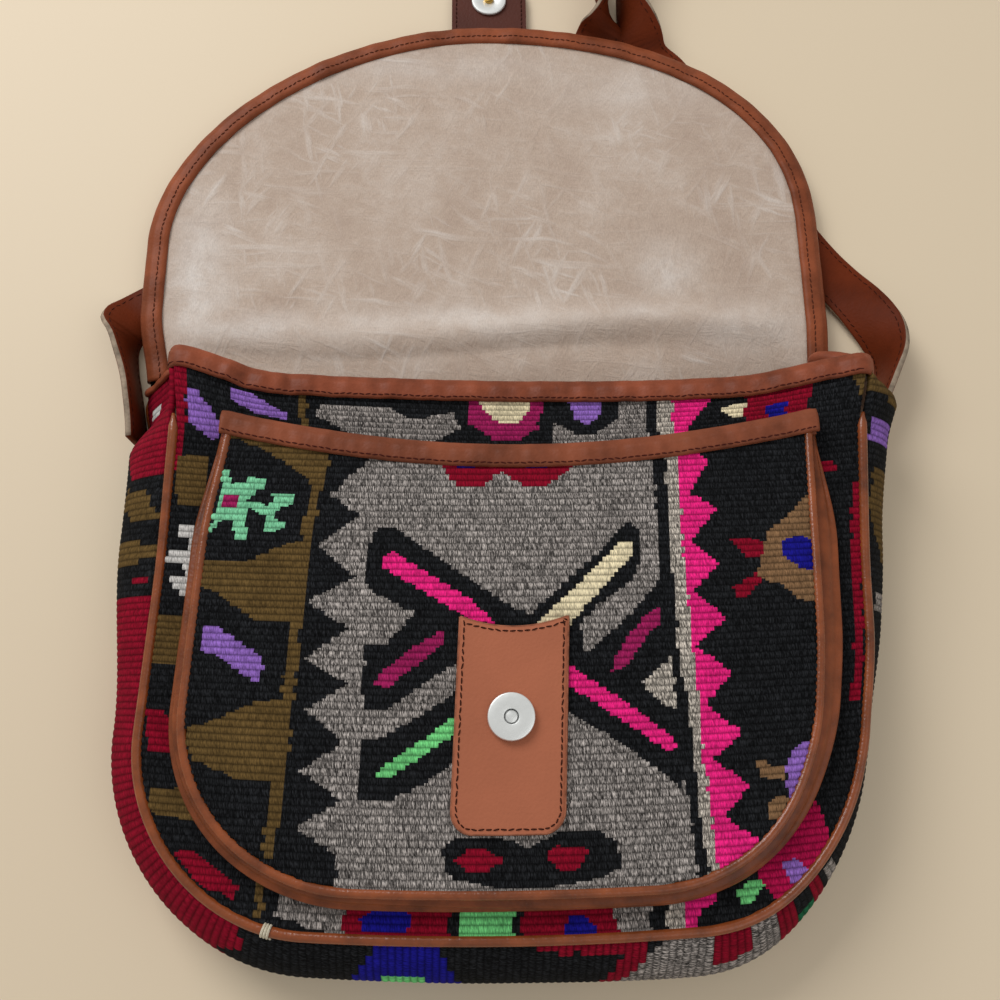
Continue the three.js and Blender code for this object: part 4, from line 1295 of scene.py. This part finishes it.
def on_front(x, y):
    """Whether places lie on the front's kilim, cut back at the mouth's corners."""
    uncut = (y < BODY_HEIGHT - CORNER_TRIM) | (np.abs(x) < BODY_HALF - CORNER_TRIM_SIDE)
    return inside_rim(BODY_RIM, EDGE_TUCK, x, y) & (y < BODY_HEIGHT - MOUTH_TUCK) & uncut


def on_pocket(x, y):
    return inside_rim(POCKET_RIM, EDGE_TUCK, x, y) & (y < pocket_top(x) - POCKET_TUCK)


def make_front():
    piece = woven_panel("kilim_front", BODY_RIM, on_front, front_place, FRONT_MOTIFS)
    finish_piece(piece, WOOL, "kilim", "front_panel")


def make_pocket():
    piece = woven_panel("kilim_pocket", POCKET_RIM, on_pocket, pocket_place, POCKET_MOTIFS)
    finish_piece(piece, WOOL, "kilim", "pocket_panel")


def make_gusset():
    """The gusset's ridges run across the band, so its rows are counted along the seam."""
    total = rim_length(*BODY_RIM)
    ridges = round(total / RIDGE_PITCH)
    rows_at = np.linspace(0.5, total - 0.5, ridges * ROWS_PER_RIDGE + 1)
    columns_at = np.linspace(1, 0, GUSSET_COLUMNS)
    across, along = np.meshgrid(columns_at, rows_at)
    inner = gusset_point(along, across)
    points = inner + grid_normals(inner) * KILIM
    middle = middles(rows_at)
    ridge = np.arange(len(middle)) // ROWS_PER_RIDGE
    ridge_at = (rows_at[0] + (ridge + 0.5) * (rows_at[-1] - rows_at[0]) / ridges)[:, None]
    face_across, face_along = np.meshgrid(middles(columns_at), middle)
    ragged = dice.uniform(-GUSSET_RAGGED, GUSSET_RAGGED, ridges)[ridge][:, None]
    colours, marl_and_sheen = weave(GUSSET_MOTIFS, ridge_at + np.zeros_like(face_across), face_across + ragged)
    from_end = np.minimum(face_along, total - face_along)
    kept = (from_end > CORNER_TRIM) | (face_across < GUSSET_TRIM)
    map_rows = np.arange(len(rows_at)) * RIDGE_PITCH / ROWS_PER_RIDGE
    map_columns = columns_at * GUSSET_MAP_WIDTH
    piece = woven_sheet("kilim_gusset", points, map_rows, map_columns, kept, colours, marl_and_sheen, FLAT_SWELL)
    finish_piece(piece, WOOL, "kilim", "gusset")


def make_back():
    """The back and the flap's outside, whose patterned face looks down."""
    ridges = math.floor((FLAP_TIP - 1) / RIDGE_PITCH)
    rows_at = np.arange(ridges * ROWS_PER_RIDGE + 1) / ROWS_PER_RIDGE * RIDGE_PITCH
    columns_at = np.linspace(1, 0, BACK_COLUMNS)
    points = back_place(*np.meshgrid(columns_at, rows_at), 0.0) - UP * KILIM
    middle = (points[1:, 1:] + points[:-1, :-1]) / 2
    colours, marl_and_sheen = weave(BACK_MOTIFS, middle[..., 0], middle[..., 1])
    kept = on_back(*np.meshgrid(middles(columns_at), middles(rows_at)), BACK_TUCK)
    map_columns = columns_at * BACK_MAP_WIDTH
    piece = woven_sheet("kilim_back_flap", points, rows_at, map_columns, kept, colours, marl_and_sheen, FLAT_SWELL)
    finish_piece(piece, WOOL, "kilim", "back_flap_panel")


make_front()
make_pocket()
make_gusset()
make_back()


# Lining

ROLL_HEIGHT = 4.2
ROLL_FROM_MOUTH = 31.0
ROLL_WIDTH = 8.0
CREASE_DEPTH = 1.6
CREASE_BELOW_ROLL = 13.0
CREASE_WIDTH = 4.0
LINING_EDGE = 3.0
LINING_COLUMNS = 161
LINING_STEP = 1.8
CANVAS_EDGE = 4.0
CANVAS_STEP = 4.0

# Pale patches of the lining, with a painted highlight along the roll above the mouth: middle, half width,
# half height and strength
PALE_PATCHES_AND_ROLL_HIGHLIGHT = (
    (-148, 285, 16, 40, 0.9), (-120, 262, 40, 9, 0.8), (-20, 266, 70, 8, 0.7), (70, 270, 40, 7, 0.5),
    (76, 292, 12, 14, 0.9), (110, 262, 30, 14, 0.5), (-40, 408, 60, 9, 0.5), (60, 395, 40, 14, 0.4),
)


def lining_folds(x, y):
    """Soft folds of the flap's lining: a roll above the mouth with a crease below it, and slow waves."""
    from_roll = y - BODY_HEIGHT - ROLL_FROM_MOUTH - 4 * np.sin(x / 45)
    roll = ROLL_HEIGHT * bell(from_roll, ROLL_WIDTH) * (0.6 + 0.4 * np.sin(x / 60 + 1))
    crease = CREASE_DEPTH * bell(from_roll + CREASE_BELOW_ROLL, CREASE_WIDTH) * smooth(90 - x, 0, 60)
    waves = 0.35 * np.sin(x / 31 + y / 47) + 0.3 * np.sin(y / 23 - x / 71 + 2)
    return roll - crease + waves


def pale_patches_and_roll_highlight(x, y):
    """How pale the lining is painted: a painted highlight along the roll above the mouth, and pale patches
    along its edges.
    """
    return np.max([s * bell(x - a, w) * bell(y - b, h) for a, b, w, h, s in PALE_PATCHES_AND_ROLL_HIGHLIGHT], axis=0)


def make_back_lining():
    rows_at = np.arange(LINING_EDGE, FLAP_TIP - 2.5, LINING_STEP)
    columns_at = np.linspace(0, 1, LINING_COLUMNS)
    share, y = np.meshgrid(columns_at, rows_at)
    points = back_place(share, y, LINING_EDGE) + UP * (PLAY + CANVAS)
    held = smooth(y, BODY_HEIGHT, BODY_HEIGHT + 14) * smooth(np.minimum(share, 1 - share), 0.03, 0.09)
    points[..., 2] += np.maximum(lining_folds(points[..., 0], y) * held, -0.2)
    kept = on_back(*np.meshgrid(middles(columns_at), middles(rows_at)), LINING_EDGE + 0.4)
    piece, used = grid_sheet("flap_lining", points, kept)
    x, y, _ = points.reshape(-1, 3)[used].T
    # Painted highlight along the roll and pale patches, kept on the points
    pale_and_highlight = piece.data.attributes.new("pale_and_highlight", "FLOAT", "POINT")
    pale_and_highlight.data.foreach_set("value", pale_patches_and_roll_highlight(x, y))
    thicken(piece, CANVAS)
    finish_piece(piece, CANVAS_CLOTH, "lining_canvas", "back_flap_lining")


def make_front_lining():
    rows_at = np.arange(CANVAS_EDGE, BODY_HEIGHT, CANVAS_STEP)
    columns_at = np.arange(CANVAS_EDGE - BODY_HALF, BODY_HALF - CANVAS_EDGE + 1, CANVAS_STEP)
    x, y = np.meshgrid(columns_at, rows_at)
    points = settle(x, y, front_height(x, y) - KILIM / 2 - PLAY)
    kept = inside_rim(BODY_RIM, CANVAS_EDGE, *np.meshgrid(middles(columns_at), middles(rows_at)))
    piece, _ = grid_sheet("front_canvas", points, kept)
    thicken(piece, CANVAS)
    finish_piece(piece, CANVAS_CLOTH, "lining_canvas", "front_lining")


def make_gusset_lining():
    total = rim_length(*BODY_RIM)
    across, along = np.meshgrid(np.linspace(0.92, 0.08, 13), np.linspace(1, total - 1, 230))
    outer = gusset_point(along, across)
    piece, _ = grid_sheet("gusset_canvas", outer - grid_normals(outer) * PLAY)
    thicken(piece, CANVAS)
    finish_piece(piece, CANVAS_CLOTH, "lining_canvas", "gusset_lining")


make_back_lining()
make_front_lining()
make_gusset_lining()


# Piping, bindings and leather of the pocket

PIPING_TAPER = 6.0
PIPING_END = 0.3
PIPING_RINGS = 260

# The mend: where its thread starts along the front piping, its turns, the step of each and its thickness
MEND_AT = 256.0
MEND_TURNS = 3
MEND_STEP = 1.1
MEND_RADIUS = 0.55

# The pocket's band: its creases' depth, number and slow drift, and how it starts, leaves and lands
BAND_CREASE = 0.7
BAND_CREASES = 2.2
BAND_DRIFT = 0.3
BAND_START = 0.6
BAND_TUCK = 1.8
BAND_RISE = 6.0
BAND_LEAVE = 3.0

# Waves of a binding's unevenness: how many along it and where each starts
PUCKER_WAVES = ((11, 0.3), (23, 1.7), (41, 2.9))
PUCKER = 0.05
MOUTH_PUCKER = 0.07

# Gathers of the mouth binding near the left corner: place across the front and share of its thickness
GATHERS = ((-121, 0.24), (-113, -0.22), (-107, 0.26), (-97, -0.2), (-88, 0.18), (-80, -0.12))
GATHER_WIDTH = 2.2

# Where stitches lie in from a binding's edge, and how far the mouth binding thins past its left end
FLAP_STITCH_INSET = 5.4
EDGE_STITCH_INSET = 7.4
LEFT_END_DEPTH = 0.35
MOUTH_SIDE = 2.5
MOUTH_RINGS = 400


def piping(name, rim_sizes, height_at, radius, start, node, settled=settle):
    """Leather-covered cord in a seam, tapering where it starts and ends."""
    total = rim_length(*rim_sizes)
    along = np.linspace(start, total - start, PIPING_RINGS)
    x, y, _, _ = rim(*rim_sizes, along)
    path = settled(x, y, height_at(x, y))
    full = start + PIPING_TAPER
    taper = smooth(along, start, full) * smooth(total - along, start, full)
    sections = round_section(1.0)[None] * (radius * mix(PIPING_END, 1.0, taper))[:, None, None]
    finish_piece(sweep(name, path, upright(path), sections), PIPING_TAN, "tan_leather", node)


def make_piping():
    piping("front_piping_cord", BODY_RIM, front_height, PIPING_RADIUS, PIPING_START, "front_piping")
    piping("back_piping_cord", BODY_RIM, lambda x, y: back_seam(y), PIPING_RADIUS, 1.0, "back_piping")
    piping(
        "pocket_piping_cord",
        POCKET_RIM,
        pocket_height,
        POCKET_PIPING_RADIUS,
        POCKET_PIPING_START,
        "pocket_piping",
        pocket_settle,
    )


def make_mend():
    """Cream thread wound round the front piping where its seam was sewn again."""
    turns = np.linspace(0, MEND_TURNS, 90)
    x, y, out, _ = rim(*BODY_RIM, MEND_AT + turns * MEND_STEP)
    angle = 2 * np.pi * turns
    radius = PIPING_RADIUS + PLAY
    aside = radius * np.cos(angle)
    height = front_height(x, y) + radius * np.sin(angle)
    path = settle(x + out[:, 0] * aside, y + out[:, 1] * aside, height)
    ups = np.column_stack([-out[:, 1], out[:, 0], np.zeros(len(out))])
    piece = sweep("piping_mend", path, ups, round_section(MEND_RADIUS, 8))
    finish_piece(piece, CREAM_THREAD, "tan_leather")


def make_pocket_gusset():
    """The pocket's narrow leather band, flaring from the piping down to the front."""
    total = rim_length(*POCKET_RIM)
    share, along = np.meshgrid(np.linspace(1, 0, 21), np.linspace(1, total - 1, 260))
    x, y, out, _ = rim(*POCKET_RIM, along)
    full = mix(POCKET_FLARE_BOTTOM, POCKET_FLARE_SIDE, out[..., 0] ** 2)
    flare = mix(POCKET_FLARE_TOP, full, below_pocket_top(y))
    flare = flare - POCKET_LEAN * np.clip(-out[..., 0], 0, 1) ** 2 * below_pocket_top(y)
    seat = front_height(x + out[..., 0] * flare, y + out[..., 1] * flare) + KILIM / 2 + PLAY
    top = np.stack([np.full_like(flare, BAND_START), pocket_height(x, y) - BAND_TUCK], -1)
    leave = np.stack([flare, np.full_like(flare, -BAND_LEAVE)], -1)
    base = np.stack([flare, seat], -1)
    point = cubic((base, base + [0.0, BAND_RISE], top + leave, top), share)
    points = pocket_settle(x + out[..., 0] * point[..., 0], y + out[..., 1] * point[..., 0], point[..., 1])
    drift = BAND_DRIFT * np.sin(along / 41)
    creases = np.sin(np.pi * share) * np.sin(2 * np.pi * (BAND_CREASES * share + drift))
    points -= grid_normals(points) * (BAND_CREASE * creases)[..., None]
    piece, _ = grid_sheet("pocket_band", points)
    thicken(piece, BINDING_LEATHER)
    finish_piece(piece, BAND_TAN, "tan_leather", "pocket_gusset")


def puckers(count, size):
    """Gentle unevenness along a binding."""
    places = np.linspace(0, 2 * np.pi, count)
    return 1 + size * sum(np.sin(places * waves + shift) for waves, shift in PUCKER_WAVES)


def bind(name, path, ups, layers, looks, nodes, inset, uneven, depths=1.0, sewn=slice(None)):
    """Leather folded over an edge's layers, uneven in thickness and depth, with stitches where sewn."""
    low, high = layers
    material, thread = looks
    middle = np.array([(low + high) / 2, 0.0])
    spread = np.stack(np.broadcast_arrays(uneven, depths), -1)[:, None]
    piece = sweep(name, path, ups, middle + (folded_section(low, high) - middle) * spread)
    finish_piece(piece, material, "tan_leather", *nodes)
    place = 1 - 2 * inset / BINDING_DEPTH
    top = high + BINDING_EASE + BINDING_LEATHER + BINDING_DOME * (1 - place**2)
    lifts = middle[0] + (top - middle[0]) * uneven
    row = stitches(f"{name}_stitches", path[sewn], ups[sewn], lifts[sewn, None], inset, thread=0.28)
    finish_piece(row, thread, "tan_leather")


def flap_edge(side):
    """One side of the flap's outline, from the mouth's end to the tip."""
    shoulder, fullness = FLAP_ROUND[side]
    y = np.linspace(BODY_HEIGHT + FLAP_BINDING_START, shoulder, 60, endpoint=False)
    turns = np.linspace(0, np.pi / 2, 120)
    round_x = FLAP_CENTRE + side * FLAP_HALF * np.cos(turns) ** (2 / fullness)
    round_y = shoulder + (FLAP_TIP - shoulder) * np.sin(turns) ** (2 / fullness)
    left, right = flap_limits(y)
    straight_x = left if side < 0 else right
    return np.column_stack([np.concatenate([straight_x, round_x]), np.concatenate([y, round_y])])


def make_flap_binding():
    """From the right mouth end, up and over the tip, down to the left."""
    outline = even_steps(np.vstack([flap_edge(1), flap_edge(-1)[-2::-1]]), 420)
    path = np.column_stack([outline, back_face(outline[:, 1])])
    layers = (-KILIM, PLAY + CANVAS)
    uneven = puckers(len(path), PUCKER)
    looks = (FLAP_TAN, TAN_THREAD)
    nodes = ["flap_binding"]
    bind("flap_edge_binding", path, upright(path), layers, looks, nodes, FLAP_STITCH_INSET, uneven)


def make_pocket_binding():
    reach = POCKET_HALF + 3
    x = np.linspace(reach, -reach, 200)
    path = settle(x, pocket_top(x), pocket_height(np.clip(x, -POCKET_HALF, POCKET_HALF), POCKET_TOP))
    layers = (-KILIM / 2, KILIM / 2)
    uneven = puckers(len(path), PUCKER)
    looks = (POCKET_TAN, BROWN_THREAD)
    nodes = ["pocket_binding"]
    bind("pocket_edge_binding", path, upright(path), layers, looks, nodes, EDGE_STITCH_INSET, uneven)


def mouth_path():
    """The mouth's edge and a line inside it, right gusset, front and left, and the front's stretch."""
    across = np.linspace(0.06, 0.9, 16)
    total = rim_length(*BODY_RIM)
    x = np.linspace(BODY_HALF - MOUTH_SIDE, MOUTH_SIDE - BODY_HALF, 90)
    lines = []
    for inset in (0.5, BINDING_DEPTH - 1):
        right = gusset_point(np.full_like(across, total - inset), across)
        left = gusset_point(np.full_like(across, inset), across)[::-1]
        y = np.full_like(x, BODY_HEIGHT - inset)
        front = settle(x, y, front_height(x, y) - KILIM / 2)
        lines.append(np.vstack([right, front, left]))
    both = smooth_path(np.column_stack(lines), MOUTH_RINGS)
    run = run_along(lines[0])
    first, last = (round(run[k] / run[-1] * MOUTH_RINGS) for k in (len(across), len(across) + len(x)))
    return both[:, :3], both[:, 3:], slice(first, last)


def make_mouth_binding():
    path, inside, front = mouth_path()
    ups = unit(np.cross(path - inside, unit(np.gradient(path, axis=0))))
    uneven = puckers(len(path), MOUTH_PUCKER)
    for place, rise in GATHERS:
        uneven[front] += rise * bell(path[front, 0] - place, GATHER_WIDTH)
    past_left = np.arange(len(path)) - front.stop
    depths = mix(1.0, LEFT_END_DEPTH, smooth(past_left, -2, 8))
    layers = (-PLAY - CANVAS, KILIM)
    looks = (MOUTH_TAN, BROWN_THREAD)
    nodes = ["front_binding", "gusset_binding_left", "gusset_binding_right"]
    bind("mouth_edge_binding", path, ups, layers, looks, nodes, EDGE_STITCH_INSET, uneven, depths, front)


make_piping()
make_mend()
make_pocket_gusset()
make_flap_binding()
make_pocket_binding()
make_mouth_binding()


# Patch, tongue and the magnetic snap

STITCH_RISE = 0.05
PATCH_STITCH_INSET = 1.6
TONGUE_STITCH_INSET = 2.4
TONGUE_STITCH_START = 4.0
PATCH_EDGE_RADIUS = 0.55
PATCH_EDGE_DROP = 0.5

# Profiles of the snap's turned pieces: radius and height
SOCKET_PROFILE = (
    (8.6, 0.0), (9.0, 0.3), (9.0, 2.0), (8.75, 2.45), (8.3, 2.6), (3.3, 2.6), (2.95, 2.5), (2.8, 2.2),
    (2.8, 0.9), (2.4, 0.9), (2.3, 1.4), (2.1, 1.5),
)
STUD_PROFILE = ((8.7, 0.0), (9.0, 0.2), (9.0, 1.0), (8.7, 1.35), (8.3, 1.4), (3.3, 1.4), (2.7, 1.0))
PIN_PROFILE = ((2.4, 0.0), (2.4, 2.2), (2.15, 2.65), (1.7, 2.8))
TURNED_SIDES = 64
SHARP_ANGLE = 35.0


def make_patch():
    """The patch on the pocket: a tongue of leather with a pale cut edge and stitches inside it."""
    corner = np.linspace(0, np.pi / 2, 12)
    straight = np.linspace(PATCH_BOTTOM + PATCH_CORNER, PATCH_TOP, 31)[1:]
    halves = PATCH_HALF - PATCH_CORNER * (1 - np.sin(corner))
    halves = np.concatenate([halves, np.full_like(straight, PATCH_HALF)])
    heights = np.concatenate([PATCH_BOTTOM + PATCH_CORNER * (1 - np.cos(corner)), straight])
    x = halves[:, None] * np.linspace(-1, 1, 21)
    hollow = 1 - (x / PATCH_HALF) ** 2
    dip = PATCH_DIP * smooth(heights, PATCH_TOP - PATCH_DIP_REACH, PATCH_TOP)
    y = heights[:, None] - dip[:, None] * hollow
    points = settle(x, y, pocket_height(x, y) + KILIM / 2 + PLAY + PATCH_LEATHER)
    piece, _ = grid_sheet("snap_patch_leather", points)
    thicken(piece, PATCH_LEATHER)
    finish_piece(piece, PATCH_TAN, "tan_leather", "snap_patch")
    outline = np.vstack([points[::-1, 0], points[0, 1:-1], points[:, -1], points[-1, -2:0:-1]])
    path = even_steps(np.vstack([outline, outline[:1]]), 300)
    row = stitches("snap_patch_stitches", path, upright(path), STITCH_RISE, PATCH_STITCH_INSET)
    finish_piece(row, DARK_THREAD, "tan_leather")
    section = round_section(PATCH_EDGE_RADIUS, 8)
    edge = sweep("snap_patch_edge", path - UP * PATCH_EDGE_DROP, upright(path), section)
    finish_piece(edge, PATCH_EDGE, "tan_leather")


def make_tongue():
    """Two layers of leather that hold the flap's tip, made from copies of their CAD nodes."""
    for name, node in (("tongue_lower_leather", "tongue_outer"), ("tongue_upper_leather", "tongue_inner")):
        make_active(frame["nodes"][node])
        bpy.ops.object.duplicate()
        piece = bpy.context.view_layer.objects.active
        piece.name = name
        piece.data.name = name
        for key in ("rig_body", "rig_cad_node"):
            if key in piece:
                del piece[key]
        bpy.ops.object.mode_set(mode="EDIT")
        bpy.ops.mesh.select_all(action="SELECT")
        bpy.ops.mesh.remove_doubles(threshold=0.00001)
        bpy.ops.object.mode_set(mode="OBJECT")
        finish_piece(piece, TONGUE_BROWN, "tan_leather", node)


def make_tongue_stitches():
    straight = TONGUE_END - TONGUE_HALF
    side_y = np.linspace(FLAP_TIP + TONGUE_STITCH_START, straight, 20)
    turns = np.linspace(0, np.pi, 40)
    right = np.stack([np.full_like(side_y, TONGUE_HALF), side_y], -1)
    end = np.stack([TONGUE_HALF * np.cos(turns), straight + TONGUE_HALF * np.sin(turns)], -1)
    outline = np.vstack([right, end[1:], right[::-1] * [-1, 1]])
    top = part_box("stud_plate")[0].z / MM - PLAY
    path = np.column_stack([outline[:, 0] + TONGUE_CENTRE, outline[:, 1], np.full(len(outline), top)])
    row = stitches("tongue_stitches", path, upright(path), STITCH_RISE, TONGUE_STITCH_INSET)
    finish_piece(row, DARK_THREAD, "tan_leather")


def turned_piece(name, profile, centre, material, slot, *nodes):
    """A turned metal piece from a profile of (radius, height), spun about an upright axis."""
    rings = [
        np.column_stack([round_section(radius, TURNED_SIDES), np.full(TURNED_SIDES, height)])
        for radius, height in profile
    ]
    piece = mesh_piece(name, np.vstack(rings) + centre, tube_faces(len(profile), TURNED_SIDES))
    make_active(piece)
    bpy.ops.object.shade_smooth_by_angle(angle=math.radians(SHARP_ANGLE))
    finish_piece(piece, material, slot, *nodes)


def node_centre(node):
    """The middle of the underside of a CAD node, in the bag's own places."""
    low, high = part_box(node)
    return np.array([(low.x + high.x) / 2, (low.y + high.y) / 2, low.z]) / MM - ORIGIN


def make_snap():
    seat = node_centre("socket_case")
    turned_piece("snap_socket", SOCKET_PROFILE, seat, STEEL, "snap_steel", "socket_case", "socket_plate")
    seat = node_centre("stud_plate")
    turned_piece("snap_stud_plate", STUD_PROFILE, seat, STEEL, "snap_steel", "stud_plate")
    turned_piece("snap_stud_pin", PIN_PROFILE, seat, BRASS, "snap_brass", "stud_pin")
    for node, material in (("socket_washer", STEEL), ("stud_washer", STEEL), ("socket_magnet", MAGNET)):
        frame["nodes"][node].data.materials.clear()
        frame["nodes"][node].data.materials.append(material)


make_patch()
make_tongue()
make_tongue_stitches()
make_snap()


# Floor and light

FLOOR_SIZE = 6.0
WORLD_LIGHT = (1.0, 0.985, 0.96, 1.0)
WORLD_STRENGTH = 0.42

# Lamps: name, place in metres, size and power
LAMPS = (("window", (-0.9, 1.1, 1.3), 1.0, 22.5), ("room", (1.0, -0.8, 1.6), 1.4, 5.0))


def make_floor():
    bpy.ops.object.select_all(action="DESELECT")
    bpy.ops.mesh.primitive_plane_add(size=FLOOR_SIZE)
    floor = bpy.context.object
    floor.name = "floor"
    material, tree = new_material("pale floor")
    feed_shader(tree, Base_Color=srgb(226, 208, 180), Roughness=0.6)
    floor.data.materials.append(material)


def add_light():
    world = bpy.data.worlds.new("studio")
    world.use_nodes = True
    feed(world.node_tree, world.node_tree.nodes["Background"], Color=WORLD_LIGHT, Strength=WORLD_STRENGTH)
    bpy.context.scene.world = world
    for name, place, size, power in LAMPS:
        lamp = bpy.data.lights.new(name, "AREA")
        lamp.size = size
        lamp.energy = power
        piece = bpy.data.objects.new(name, lamp)
        piece.location = place
        piece.rotation_euler = (-Vector(place)).to_track_quat("-Z", "Y").to_euler()
        bpy.context.collection.objects.link(piece)


make_floor()
add_light()
bpy.context.scene.view_settings.view_transform = "Standard"
